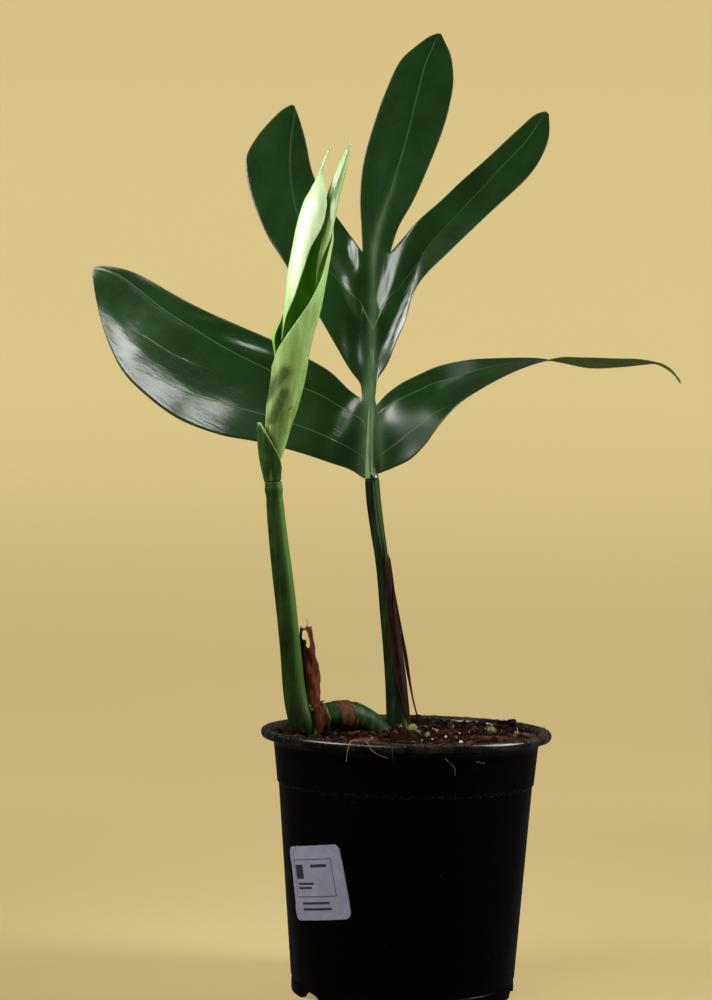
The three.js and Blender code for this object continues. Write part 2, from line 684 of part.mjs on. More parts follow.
function bandGeometry() {
  const rhizome = new Stem(RHIZOME_STATIONS);
  const [from, to] = BAND_SPAN;
  const ring = grid(RING_ROWS, RING_COLUMNS, (i, j) => {
    const degrees = (-360 * j) / RING_COLUMNS;
    const downward = Math.sin(THREE.MathUtils.degToRad(degrees));
    const t = THREE.MathUtils.lerp(from, to, i / RING_ROWS) + BAND_SLANT * downward;
    return rhizome.pointAt(t, degrees, rhizome.valueAt(t, 3) + FIT_GAP + DRY_THICKNESS / 2);
  }, true);
  return thicken(ring, DRY_THICKNESS);
}

// Dried strip on the grown petiole, with a thread that hangs to the soil
function dryStripGeometry(petioleRoom) {
  const petiole = new Stem(MATURE_PETIOLE_STATIONS);
  const rows = 16;
  const columns = 4;
  const sheet = grid(rows, columns, (i, j) => {
    const t = THREE.MathUtils.lerp(STRIP_STATIONS[0][0], STRIP_STATIONS.at(-1)[0], i / rows);
    const share = j / columns;
    const [start, end, standOff] = [1, 2, 3].map((column) => interpolate(STRIP_STATIONS, t, column));
    const curl = 0.5 * standOff * (1 - share);
    const radius = petiole.valueAt(t, 3) + FIT_GAP + DRY_THICKNESS / 2 + curl;
    return petiole.pointAt(t, THREE.MathUtils.lerp(end, start, share), radius);
  });
  const strip = solidOf(thicken(sheet, DRY_THICKNESS));
  const thread = solidOf(limb(THREAD_STATIONS, THREAD_FACETS));
  return geometryOf(largestBody(strip.add(thread).subtract(petioleRoom)));
}

// The parts in their places
const plant = new THREE.Group();

function piece(name, geometry, color, roughness) {
  const mesh = new THREE.Mesh(geometry, new THREE.MeshStandardMaterial({ color, roughness, metalness: 0 }));
  mesh.name = name;
  plant.add(mesh);
}

const newPetiole = limb(NEW_PETIOLE_STATIONS, PETIOLE_FACETS);
const newPetioleRoom = solidOf(limb(NEW_PETIOLE_STATIONS, PETIOLE_FACETS, FIT_GAP));
const maturePetiole = limb(MATURE_PETIOLE_STATIONS, PETIOLE_FACETS);
const maturePetioleRoom = solidOf(limb(MATURE_PETIOLE_STATIONS, PETIOLE_FACETS, FIT_GAP));
const rhizomeRoom = solidOf(limb(RHIZOME_STATIONS, RHIZOME_FACETS, FIT_GAP));
const rhizome = solidOf(limb(RHIZOME_STATIONS, RHIZOME_FACETS))
  .subtract(newPetioleRoom)
  .subtract(maturePetioleRoom);
const cataphyll = cataphyllGeometry().subtract(newPetioleRoom).subtract(rhizomeRoom);
const furledLeaf = furledLeafGeometry();
const soilRooms = [
  newPetioleRoom,
  maturePetioleRoom,
  solidOf(limb(RHIZOME_STATIONS, RHIZOME_FACETS, DRY_THICKNESS + 3 * FIT_GAP)),
  solidOf(limb(CATAPHYLL_STATIONS, [12, 12], DRY_THICKNESS + FIT_GAP)),
  solidOf(limb(THREAD_STATIONS, THREAD_FACETS, FIT_GAP)),
];

piece("pot", potGeometry(), 0x0b0b0c, 0.45);
piece("pot_label", labelGeometry(), 0xd6d6de, 0.6);
piece("potting_soil", soilGeometry(soilRooms), 0x3a2418, 0.95);
piece("rhizome", geometryOf(largestBody(rhizome)), 0x35663f, 0.5);
piece("rhizome_dry_band", bandGeometry(), 0x8a5a45, 0.8);
piece("dry_cataphyll", geometryOf(largestBody(cataphyll)), 0x7a4526, 0.85);
piece("new_petiole", newPetiole, 0x43702e, 0.45);
piece("new_leaf_sheath", cupGeometry(furledLeaf), 0x4f7d2e, 0.5);
piece("furled_leaf", furledLeaf, 0xa9c47e, 0.35);
piece("mature_petiole", maturePetiole, 0x34591f, 0.45);
piece("dry_petiole_sheath", dryStripGeometry(maturePetioleRoom), 0x4a2618, 0.85);
piece("mature_leaf", matureLeafGeometry(), 0x1c4a22, 0.3);

export default plant;
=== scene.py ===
"""Looks of a young climbing aroid in a nursery pot, with one grown leaf and one still rolled."""
import math
from functools import reduce
from itertools import zip_longest

import bmesh
import bpy
import numpy as np
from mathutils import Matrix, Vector, noise


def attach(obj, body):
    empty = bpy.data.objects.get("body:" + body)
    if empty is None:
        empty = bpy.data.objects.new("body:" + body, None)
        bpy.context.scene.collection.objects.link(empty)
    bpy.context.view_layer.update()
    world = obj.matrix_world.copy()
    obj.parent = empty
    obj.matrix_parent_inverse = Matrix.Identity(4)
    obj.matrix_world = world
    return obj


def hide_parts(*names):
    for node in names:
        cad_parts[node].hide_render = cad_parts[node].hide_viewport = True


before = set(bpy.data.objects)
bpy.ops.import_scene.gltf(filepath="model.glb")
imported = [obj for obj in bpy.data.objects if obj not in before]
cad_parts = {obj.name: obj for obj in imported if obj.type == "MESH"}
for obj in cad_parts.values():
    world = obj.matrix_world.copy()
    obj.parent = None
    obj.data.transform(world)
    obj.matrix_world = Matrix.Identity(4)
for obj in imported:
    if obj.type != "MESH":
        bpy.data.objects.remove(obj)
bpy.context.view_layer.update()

# Sizes and places are in millimetres, +Z up, with the front of the plant towards -Y. Meshes are in metres.
MM = 0.001
SEED = 41
BODY = "root"
FRONT = np.array([0.0, -1.0, 0.0])

# Camera
CAMERA_PLACE = (-31.5, -1290, 286)
CAMERA_LENS = 79.2
CAMERA_ROLL = 0.9

# Floor and backdrop, in metres
FLOOR_HALF_WIDTH = 6
FLOOR_FRONT = -3
SWEEP_START = 1.4
SWEEP_RADIUS = 2.4
BACKDROP_TOP = 5

# Pot
POT_HEIGHT = 152.5
POT_RIM_RADIUS = 85
POT_FOOT_RADIUS = 65
POT_WALL = 1.5
POT_FLOOR_TOP = 7
POT_SEGMENTS = 192
POT_SHARP_ANGLE = 40
NOTCH_COUNT = 8
NOTCH_FIRST_ANGLE = -56
NOTCH_HALF_WIDTH = 10
NOTCH_HEIGHT = 5
DRAIN_COUNT = 6
DRAIN_RADIUS = 4
DRAIN_CIRCLE_RADIUS = 44
LEDGE_HEIGHT = 121.6
FIT_GAP = 0.35
CUTTER_SIDES = 32
CUTTER_REACH = 10

# Height and radius of the pot's wall at its two ends
WALL_LOW = (9, 65.4)
WALL_HIGH = (120.6, 74.2)

# Label
LABEL_WIDTH = 45.5
LABEL_HEIGHT = 42
LABEL_CORNER = 4
LABEL_THICKNESS = 0.3
LABEL_ANGLE = -46.7
LABEL_CENTRE_HEIGHT = 69.5
LABEL_TILT = 9

# The label's generic print, a frame and bars: left, right, low and high edge
LABEL_MARKS = [
    (-19, 15, 13, 13.45), (-19, 15, -8, -7.55), (14.55, 15, -8, 13.45), (-19, -18.55, -8, 13.45),
    (-17.5, -9.5, 2.5, 10.5), (-2, 11, 8.6, 10.4), (-16, -1, -1.0, 0.2), (-16, -3, -3.4, -2.2),
    (-14, 9, -12.2, -10.8), (-14, 10, -15.6, -14.2),
]

# Soil
SOIL_TOP = 150
SOIL_EDGE_DROP = 2.6
SOIL_EDGE_RADIUS = 75.4
SOIL_SEGMENTS = 210
BARK_COUNT = 230
HIDDEN_PERLITE_COUNT = 16
HAIR_COUNT = 150
END_ROOT_COUNT = 30
RIM_HAIR_COUNT = 60
HAIR_REACH = 72
HAIR_LIMIT = 74

# Crumbs and clods over the soil: number, sizes, flatness, fineness of their mesh and roughness
SOIL_LUMPS = [
    (1500, (0.4, 1.9), 0.5, 1, 0.2),
    (120, (1.6, 3.8), 0.6, 2, 0.13),
]

# Loose banks by the wall: number of lumps, angles from +X, distances from the middle, sizes, roughness
# and lifts
SOIL_BANKS = [
    (60, (145, 200), (62, 71), (1.2, 3.6), 0.1, (0.2, 1.6)),
    (420, (15, 165), (68.5, 74), (0.9, 2.4), 0.14, (0.1, 1.3)),
]

# Soil left on the rim at the back: angle from +X, distance from the middle, number of lumps
BACK_HEAPS = [(36, 79, 20), (82, 79.5, 2)]

# Perlite that shows at the front: x, y, size
SEEN_PERLITE = [
    (22, -32, 0.8), (30, -45, 1.0), (64, -10, 0.5), (8, -42, 0.6), (14, -40, 0.5), (31, -8, 0.5),
]

# Clumps of moss: x, y, size
MOSS_CLUMPS = [
    (4, 14, 3.4), (11, 8, 2.6), (7, -4, 1.8), (-3, 12, 2.0), (51, 16, 3.0), (66, 12, 1.8), (17, 4, 2.0),
    (12, -14, 1.6), (-20, -30, 1.2), (28, 40, 2.0), (-38, 36, 2.2), (-8, 52, 2.4), (24, -18, 1.2),
]

# Tangles of coir: x, y, half width, half depth, number of fibres, tones
COIR_TANGLES = [
    (52, -22, 15, 5, 90, (0.25, 0.5)),
    (-24, -50, 7, 5, 44, (0.45, 0.75)),
    (70, 2, 6, 6, 30, (0.3, 0.7)),
]

# Rootlets over the rim: radius, tone, path
RIM_ROOTS = [
    (0.2, 0.95, [(-28.4, -64, 151.5), (-30.5, -76, 153.4), (-32.5, -83, 153.3), (-34, -85.8, 148.5),
                 (-34.7, -84.8, 142.4)]),
    (0.18, 0.95, [(-25, -74, 152), (-23.5, -82, 153.3), (-20.6, -86, 149), (-16, -85.2, 146.2),
                  (-11.7, -84.3, 144.7)]),
    (0.14, 0.5, [(-9, -80, 152.6), (-9.5, -85.8, 149.5), (-9, -84.5, 144), (-8.2, -82.8, 141)]),
    (0.1, 1.25, [(19.6, -80.8, 144.6), (22.5, -79.6, 142), (25, -78.4, 139.6), (25.6, -77.8, 135)]),
    (0.08, 1.25, [(37, -74.6, 142.5), (42, -72, 141.2)]),
]

# The grown blade stands in an upright sheet that leans back with height, creased along its rachis
LEAF_THICKNESS = 0.55
LEAF_EDGE_THICKNESS = 0.25
LEAF_EDGE_WIDTH = 2.5
LEAF_DEPTH = 35
LEAF_BASE_HEIGHT = 300
RACHIS_X = -23
LEAN_SLOPE = 0.05
LEAN_CURVE = 0.0004
CREASE_SLOPE = 0.1
CREASE_ROUNDING = 4
SIDE_CURVE = 0.0011
LOBE_COLUMNS = 56

# Rolled leaf: its sheet, the gap between its turns and the pouting lip of its free edge
ROLL_THICKNESS = 0.5
ROLL_PITCH = 1.7
LIP_HEIGHT = 378
LIP_SPREAD = 7
LIP_REACH = 2.4
ROLL_FOOT = 298
ROLL_TOP = 494

# Painted shade in darker stripes down the rolled leaf's front, and a brown scar: strength, start and end in
# x and z, width
ROLL_STRIPES = [
    (1.3, (-73.6, 359), (-83.7, 345), 3.6),
    (1.3, (-74.2, 347), (-80.4, 331), 3.2),
    (0.585, (-75.5, 352), (-80.3, 312), 3.6),
    (0.7, (-76.5, 336), (-80.8, 320), 3.2),
]
ROLL_SCAR = ((-71.2, 337.2), (-69.4, 339.2), 0.5)

# Axes of stems and shells, each station being x, y, z, radius and, for a shell, its start and end angle
NEW_PETIOLE_STATIONS = [
    (-57.7, -12, 139, 5.0),
    (-58.3, -13, 147.4, 6.4),
    (-59.3, -14, 152.7, 7.2),
    (-60.8, -15, 157.4, 7.7),
    (-63.3, -15, 164.9, 7.1),
    (-65.5, -15, 175.3, 6.5),
    (-68.2, -15, 199, 6.1),
    (-71.1, -15, 224, 6.0),
    (-73.7, -15, 244, 5.9),
    (-76.8, -15, 268, 5.4),
    (-79.7, -15, 295.7, 4.9),
]
MATURE_PETIOLE_STATIONS = [
    (-3.5, 25, 137, 5.4),
    (-4.3, 25, 150, 6.3),
    (-5.0, 25.5, 159, 6.4),
    (-6.4, 27, 177, 5.9),
    (-8.8, 29, 198, 5.2),
    (-11.5, 31, 219, 4.6),
    (-14.2, 33, 242, 4.1),
    (-16.1, 34, 255, 4.0),
    (-18.3, 35, 268, 4.2),
    (-20.9, 35, 286, 4.4),
    (-22, 35, 298, 4.3),
]
NEW_PETIOLE_END = [(-79.6, -15, 294.5, 4.2), (-79.8, -15, 296.5, 4.2), (-80, -15, 299, 3.6)]
MATURE_PETIOLE_END = [(-21.9, 35, 297, 4.0), (-22.1, 35.1, 299, 4.0), (-22.4, 35.3, 301.5, 3.2)]
RHIZOME_STATIONS = [
    (-57, -13, 156, 6.4),
    (-49, -9, 159.9, 7.3),
    (-41.8, -7, 160.7, 7.5),
    (-36, -4, 160.5, 7.7),
    (-30.1, 0, 159.6, 7.9),
    (-23.9, 5, 155.7, 7.7),
    (-18.7, 10, 151.5, 7.6),
    (-12.4, 15, 145.7, 7.0),
    (-6, 21, 140, 5.6),
]
CUP_STATIONS = [
    (-79.8, -15, 296.2, 4.6),
    (-80.4, -15, 299.7, 5.0),
    (-80.8, -15, 304.4, 5.9),
    (-81, -15.5, 313, 7.3),
    (-80.8, -16, 321.7, 8.2),
    (-80.5, -16, 331, 8.6),
]
ROLL_STATIONS = [
    (-79.9, -15, 298.4, 3.3, -70, -455),
    (-80.2, -15, 305.5, 4.4, -70, -480),
    (-79.2, -15, 313.1, 6.4, -70, -520),
    (-77.8, -15, 321.8, 7.8, -70, -560),
    (-76.7, -15, 329.3, 8.7, -70, -560),
    (-75.2, -15, 337.5, 9.9, -70, -560),
    (-73.5, -15, 345.6, 10.4, -70, -550),
    (-72, -15, 353.7, 10.7, -70, -530),
    (-70.9, -15, 361.9, 10.7, -70, -440),
    (-70.1, -15, 371.2, 11.1, -68, -406),
    (-69, -15, 379.3, 11.4, -62, -380),
    (-66.9, -15, 387.9, 11.3, -75, -362),
    (-65.4, -15, 394, 11.5, -118, -350),
    (-64.1, -15, 400.3, 11.6, -125, -336),
    (-62, -15, 415.4, 11.9, -125, -311),
    (-59.2, -15, 431.6, 11.7, -125, -300),
    (-57.5, -15, 440, 11.2, -120, -292),
    (-55.2, -15, 446, 9.2, -110, -300),
    (-51.3, -15, 453, 6.4, -105, -335),
    (-47.5, -15, 461, 3.9, -100, -370),
]
ROLL_TIP_STATIONS = [
    (-56.4, -19, 410.3, 0.5),
    (-55.2, -19.5, 420.1, 1.1),
    (-53.6, -20, 428.3, 1.7),
    (-51.6, -19, 435.8, 2.6),
    (-50.0, -17.5, 445.1, 3.3),
    (-48.6, -15.5, 455, 3.6),
    (-47.2, -15, 462.5, 3.7),
    (-44.3, -15, 472.4, 3.2),
    (-41.9, -15, 480, 2.6),
    (-39.1, -15, 488.7, 1.5),
    (-37.7, -15, 493.4, 0.4),
]
FLANK_STATIONS = [
    (-68.4, -15, 376, 8.6, -165, -62),
    (-66.2, -15, 387.5, 9.8, -160, -55),
    (-64.1, -15, 399.4, 10.9, -155, -31),
    (-62, -15, 415.4, 11.4, -150, -13),
    (-59.4, -15, 430.5, 11.5, -150, -2),
    (-57.2, -15, 443.8, 11.2, -140, 20),
    (-54.5, -15, 456, 10.4, -125, 20),
    (-53.4, -15, 462.4, 8.7, -120, 12),
    (-53.5, -15, 468.5, 6.2, -115, 8),
    (-54.2, -15, 473.1, 3.2, -110, 10),
    (-54, -15, 477, 1.6, -110, 10),
    (-52, -15, 483.5, 1.0, -110, 10),
    (-49.8, -15, 488.6, 0.9, -110, 10),
]
CATAPHYLL_STATIONS = [
    (-50.3, -18.8, 151.5, 1.6, -110, 70),
    (-50.6, -18.6, 158, 1.7, -110, 75),
    (-51.8, -17.4, 164, 2.1, -120, 90),
    (-53.9, -14, 170, 3.5, -130, 110),
    (-55.2, -11.5, 176, 4.1, -135, 130),
    (-55.8, -10, 182, 4.5, -140, 150),
    (-56.6, -9.5, 188, 4.7, -145, 160),
    (-57.8, -9, 194, 4.2, -145, 160),
    (-58.4, -9, 199, 4.0, -140, 150),
    (-59.1, -9, 205, 3.6, -120, 130),
    (-59.8, -9, 213.5, 3.0, -95, 110),
]

# Height of the collar's rim at each angle, its one thin point and its thickness
CUP_RIM = [
    (-180, 319), (-130, 322), (-85, 330), (-50, 330), (-15, 325), (20, 319), (55, 313.5), (90, 309.5),
    (135, 311), (180, 319),
]
CUP_POINT = {"angle": -82, "share": 0.93, "reach": 8.6, "length": 5}
CUP_THICKNESS = 0.8
CUP_RIM_THICKNESS = 0.3

# Path of the spike on top of the dry sheath
CATAPHYLL_SPIKE = [
    (-58.6, -11.6, 210.5), (-58.4, -11.8, 213), (-58.9, -11.7, 215.5), (-58.7, -11.7, 217),
]

# Rows and sides of the petioles' meshes and of their joints with the leaves, and the bud's place
STEM_NET = (260, 72)
STEM_END_NET = (8, 40)
BUD_PLACE = (-54.6, -17.5, 164.2)

# Spans and slant of the dry rings along the rhizome, and its leaf scars
COLLAR_SPAN = (0.05, 0.155)
BAND_SPAN = (0.27, 0.43)
BAND_SLANT = 0.035
RHIZOME_RINGS = (0.27, 0.52, 0.63, 0.74)
DRY_THICKNESS = 0.3

# Dried strip down the grown petiole: position along the petiole, start angle, end angle, stand-off
STRIP_STATIONS = [
    (0.1, 74, 92, 0.5),
    (0.17, 48, 88, 0.7),
    (0.3, 12, 80, 1.0),
    (0.4, -6, 76, 1.3),
    (0.5, -4, 90, 1.4),
    (0.6, 12, 98, 1.3),
    (0.66, 28, 94, 1.1),
    (0.7, 46, 84, 0.8),
]
THREAD_STATIONS = [
    (-9.8, 31, 240, 0.8),
    (-6.6, 27, 226, 0.5),
    (-3.1, 24, 208, 0.45),
    (-0.6, 22, 194, 0.5),
    (2.2, 20, 178, 0.4),
    (4.5, 19, 167, 0.5),
    (7.4, 18, 156, 0.45),
    (8.2, 18, 151.8, 0.4),
]
MIDRIB_STATIONS = [
    (-22.2, 35.2, 298.8, 4.2),
    (-22.6, 35.6, 303, 3.7),
    (-23, 36.4, 312, 3.2),
    (-23.2, 38.1, 333, 2.9),
    (-23.3, 39.7, 352, 2.3),
    (-23.5, 42.3, 377, 1.6),
    (-23.6, 45.4, 401, 1.1),
    (-23.5, 49.8, 430, 0.8),
    (-21.6, 53.9, 452, 0.5),
]

# How the values of a lobe's veins are named, the main one first
VEIN_NAMES = ("main", "second", "third")

# Edges of the lobes, from the rachis to the tip, in x and z; the twisted lobe has x, y, z
LOWER_LEFT_BELOW = [
    (-27, 299), (-35, 304), (-47, 308), (-66, 314), (-91, 320), (-114, 324), (-139, 333),
    (-157, 345), (-174, 361), (-185, 381), (-192, 402), (-195, 417), (-196, 424),
]
LOWER_LEFT_ABOVE = [
    (-29, 347), (-36, 352), (-48, 363), (-62, 371), (-84, 382), (-103, 390), (-128, 401),
    (-147, 411), (-159, 418), (-172, 424), (-185, 427), (-194, 427),
]
UPPER_LEFT_BELOW = [
    (-29, 350), (-30, 356), (-36, 364), (-47, 382), (-59, 402), (-71, 419), (-79, 432), (-87, 444),
    (-94, 459), (-99, 472), (-102, 487), (-102, 495), (-97, 506), (-87, 519), (-80, 526), (-75, 529),
]
UPPER_LEFT_ABOVE = [
    (-30, 437), (-35, 444), (-43, 455), (-51, 466), (-60, 483), (-63, 493), (-66, 507), (-70, 520),
    (-73, 528),
]
TOP_LEFT_EDGE = [
    (-30, 437), (-31, 453), (-32, 469), (-31, 488), (-26, 511), (-17, 539), (-8, 559), (1, 568),
    (10, 575), (15, 577),
]
TOP_RIGHT_EDGE = [
    (-13, 437), (-8, 453), (1, 470), (11, 494), (19, 516), (23, 532), (25, 546), (23, 563), (19, 572),
    (17, 576.5),
]
UPPER_RIGHT_ABOVE = [
    (-13, 437), (-7, 444), (4, 457), (17, 469), (29, 481), (48, 499), (66, 517), (76, 526), (82, 528),
]
UPPER_RIGHT_BELOW = [
    (-21, 347), (-20, 358), (-14, 368), (-9, 381), (-3, 396), (0, 408), (6, 420), (24, 439), (47, 462),
    (72, 487), (80, 500), (84, 512), (84, 526),
]
LOWER_RIGHT_FAR = [
    (-20, 37.8, 343.4), (-15, 38, 349.3), (-6, 40, 356.5), (6, 46, 363), (18, 52, 368.5),
    (37, 58, 372.9), (55, 60, 374.3), (80, 59, 374.5), (92, 58, 372.2), (110, 55, 368.8), (128, 49, 369.3),
    (142, 41, 370.6), (148, 38, 370.8), (153, 36.5, 368.5), (159, 36, 364), (163, 35.5, 358.8),
]
LOWER_RIGHT_NEAR = [
    (-17, 35, 302.5), (-8, 31, 306.3), (0.4, 26, 310.7), (9, 20, 319.4), (17.6, 14, 331.8),
    (28.7, 9, 343.9), (40.6, 7, 352.1), (52.3, 7, 358.9), (64, 8, 364.5), (76, 10, 369),
    (88, 12, 372.2), (100, 14, 372.5),
    (124, 21, 372.7), (137, 27, 372.9), (147, 33, 371.9), (152, 34, 370.6), (157, 34, 367.6),
    (162.4, 34, 361.4),
]


# Numbers
def smoothstep(value, low, high):
    share = np.clip((value - low) / (high - low), 0, 1)
    return share * share * (3 - 2 * share)


def lerp(a, b, share):
    return a + (b - a) * share


def bell(value):
    """1 at zero, falling away smoothly to both sides."""
    return np.exp(-(value**2))


def roughly(points, size, octaves=3, shift=0):
    """Smooth noise at each point, between about -1 and 1, with lumps of the given size."""
    spots = np.asarray(points, float).reshape(-1, 3) / size + 17.3 * shift
    values = [noise.fractal(Vector(spot), 1.0, 2.0, octaves) for spot in spots]
    return np.array(values).reshape(np.shape(points)[:-1])


# Curves and sheets
class Curve:
    """A centripetal Catmull-Rom curve through its points."""

    def __init__(self, points):
        self.points = np.array(points, float)
        self.knots = np.linspace(0, 1, 201)
        steps = np.linalg.norm(np.diff(self.at(self.knots), axis=0), axis=1)
        self.lengths = np.concatenate([[0], np.cumsum(steps)])

    def at(self, t):
        points = self.points
        last = len(points) - 1
        place = np.clip(np.asarray(t, float), 0, 1) * last
        i = np.minimum(place.astype(int), last - 1)
        w = (place - i)[..., None]
        padded = np.vstack([2 * points[0] - points[1], points, 2 * points[-1] - points[-2]])
        p0, p1, p2, p3 = (padded[i + k] for k in range(4))
        pairs = ((p0, p1), (p1, p2), (p2, p3))
        d0, d1, d2 = (np.linalg.norm(b - a, axis=-1, keepdims=True) ** 0.5 for a, b in pairs)
        m1 = ((p1 - p0) / d0 - (p2 - p0) / (d0 + d1) + (p2 - p1) / d1) * d1
        m2 = ((p2 - p1) / d1 - (p3 - p1) / (d1 + d2) + (p3 - p2) / d2) * d1
        bend = 3 * (p2 - p1) - 2 * m1 - m2
        return p1 + m1 * w + bend * w**2 + (2 * (p1 - p2) + m1 + m2) * w**3

    def at_length(self, share):
        return self.at(np.interp(np.asarray(share) * self.lengths[-1], self.lengths, self.knots))

    def tangent(self, t):
        step = 1e-4
        along = self.at(np.clip(t + step, 0, 1)) - self.at(np.clip(t - step, 0, 1))
        return along / np.linalg.norm(along, axis=-1, keepdims=True)


class Stem:
    """An axis through stations, with points round it: 0 degrees is the front, 90 the right."""

    def __init__(self, stations):
        self.stations = np.array(stations, float)
        self.axis = Curve(self.stations[:, :3])

    def value(self, t, column):
        values = self.stations[:, column]
        last = len(values) - 1
        place = np.clip(np.asarray(t, float), 0, 1) * last
        i = np.minimum(place.astype(int), last - 1)
        w = place - i
        padded = np.concatenate([values[:1], values, values[-1:]])
        p0, p1, p2, p3 = (padded[i + k] for k in range(4))
        v0 = (p2 - p0) / 2
        v1 = (p3 - p1) / 2
        return (2 * p1 - 2 * p2 + v0 + v1) * w**3 + (-3 * p1 + 3 * p2 - 2 * v0 - v1) * w**2 + v0 * w + p1

    def point(self, t, degrees, radius):
        t, degrees, radius = np.broadcast_arrays(np.asarray(t, float), degrees, radius)
        along = self.axis.tangent(t)
        right = np.cross(along, FRONT)
        right /= np.linalg.norm(right, axis=-1, keepdims=True)
        front = np.cross(right, along)
        angle = np.radians(degrees)[..., None]
        return self.axis.at(t) + (front * np.cos(angle) + right * np.sin(angle)) * radius[..., None]


def net(rows, columns):
    """Shares along and across a sheet at each of its points."""
    return np.meshgrid(np.linspace(0, 1, rows + 1), np.linspace(0, 1, columns + 1), indexing="ij")


def tube_net(rows, sides):
    """Position along a tube and degrees round it at each of its points."""
    return np.meshgrid(np.linspace(0, 1, rows + 1), np.arange(sides) * 360 / sides, indexing="ij")


def grid_faces(rows, columns, closed=False):
    i, j = np.meshgrid(np.arange(rows), np.arange(columns), indexing="ij")
    wide = columns if closed else columns + 1
    after = (j + 1) % wide
    corners = [i * wide + j, (i + 1) * wide + j, (i + 1) * wide + after, i * wide + after]
    return np.stack(corners, -1).reshape(-1, 4)


def vertex_normals(points, faces):
    a, b, c, d = (points[faces[:, k]] for k in range(4))
    face_normals = np.cross(c - a, d - b)
    normals = np.zeros_like(points)
    for k in range(4):
        np.add.at(normals, faces[:, k], face_normals)
    return normals / np.maximum(np.linalg.norm(normals, axis=1, keepdims=True), 1e-12)


def free_edges(faces):
    """The directed edges that only one face uses."""
    ends = np.concatenate([np.stack([faces[:, k], faces[:, (k + 1) % 4]], 1) for k in range(4)])
    size = int(faces.max()) + 1
    keys = ends[:, 0] * size + ends[:, 1]
    return ends[~np.isin(keys, ends[:, 1] * size + ends[:, 0])]


def mesh_of(name, points, faces, unit=MM):
    mesh = bpy.data.meshes.new(name)
    mesh.from_pydata((np.asarray(points) * unit).tolist(), [], faces)
    return mesh


def in_scene(name, data):
    made = bpy.data.objects.new(name, data)
    bpy.context.scene.collection.objects.link(made)
    return made


class Shape:
    """Points in millimetres, faces, and named values per point, gathered from several sheets."""

    def __init__(self):
        self.points = []
        self.faces = []
        self.values = []
        self.count = 0

    def add(self, points, faces, **values):
        points = np.asarray(points, float).reshape(-1, 3)
        self.points.append(points)
        self.faces += (np.asarray(faces) + self.count).tolist()
        self.values.append(self.spread(values, len(points)))
        self.count += len(points)

    @staticmethod
    def spread(values, count):
        return {key: np.broadcast_to(np.ravel(value), count) for key, value in values.items()}

    def add_plate(self, points, faces, thickness, edge=1.0, rim=0.0, **values):
        """A sheet made solid: set off half its thickness to both sides, with a wall along its free edges.

        Its value "back" is 1 on the second side. Its value "rim" is rim, but at least edge at a free edge.
        """
        points = np.asarray(points, float).reshape(-1, 3)
        used = np.unique(faces)
        renumber = np.zeros(len(points), int)
        renumber[used] = np.arange(len(used))
        values.update(rim=rim, half=np.asarray(thickness) / 2)
        flat = {key: value[used] for key, value in self.spread(values, len(points)).items()}
        half = flat.pop("half")[:, None]
        points, faces = points[used], renumber[faces]
        count = len(points)
        normals = vertex_normals(points, faces)
        edges = free_edges(faces)
        walls = np.stack([edges[:, 1], edges[:, 0], edges[:, 0] + count, edges[:, 1] + count], 1)
        both = np.concatenate([points + normals * half, points - normals * half])
        at_edge = np.zeros(count)
        at_edge[edges.ravel()] = edge
        flat["rim"] = np.maximum(at_edge, flat["rim"])
        flat = {key: np.tile(value, 2) for key, value in flat.items()}
        flat["back"] = np.repeat([0.0, 1.0], count)
        self.add(both, np.concatenate([faces, faces[:, ::-1] + count, walls]), **flat)

    def add_limb(self, stem, rows, sides, relief=None, **values):
        """A solid stem; relief(t, degrees) adds to its radius, and a value may be such a function too."""
        t, degrees = tube_net(rows, sides)
        radius = stem.value(t, 3)
        if relief:
            radius = radius + relief(t, degrees)
        values = {key: value(t, degrees) if callable(value) else value for key, value in values.items()}
        start = self.count
        faces = grid_faces(rows, sides, closed=True)[:, ::-1]
        self.add(stem.point(t, degrees, radius), faces, **values)
        self.faces.append(list(range(start + sides - 1, start - 1, -1)))
        self.faces.append(list(range(self.count - sides, self.count)))

    def piece(self, name, material, slot, *nodes):
        mesh = mesh_of(name, np.concatenate(self.points), self.faces)
        for key in sorted({key for values in self.values for key in values}):
            pairs = zip(self.values, self.points)
            parts = [values.get(key, np.zeros(len(points))) for values, points in pairs]
            attribute = mesh.attributes.new(key, "FLOAT", "POINT")
            attribute.data.foreach_set("value", np.concatenate(parts).astype(np.float32))
        mesh.shade_smooth()
        mesh.materials.append(material)
        piece = in_scene(name, mesh)
        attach(piece, BODY)
        if nodes:
            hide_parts(*nodes)
        return piece


# Materials
def srgb(code):
    """A colour written as six hex digits, as the shaders want it."""
    parts = [int(code[i : i + 2], 16) / 255 for i in (0, 2, 4)]
    return tuple(((c + 0.055) / 1.055) ** 2.4 if c > 0.04045 else c / 12.92 for c in parts) + (1.0,)


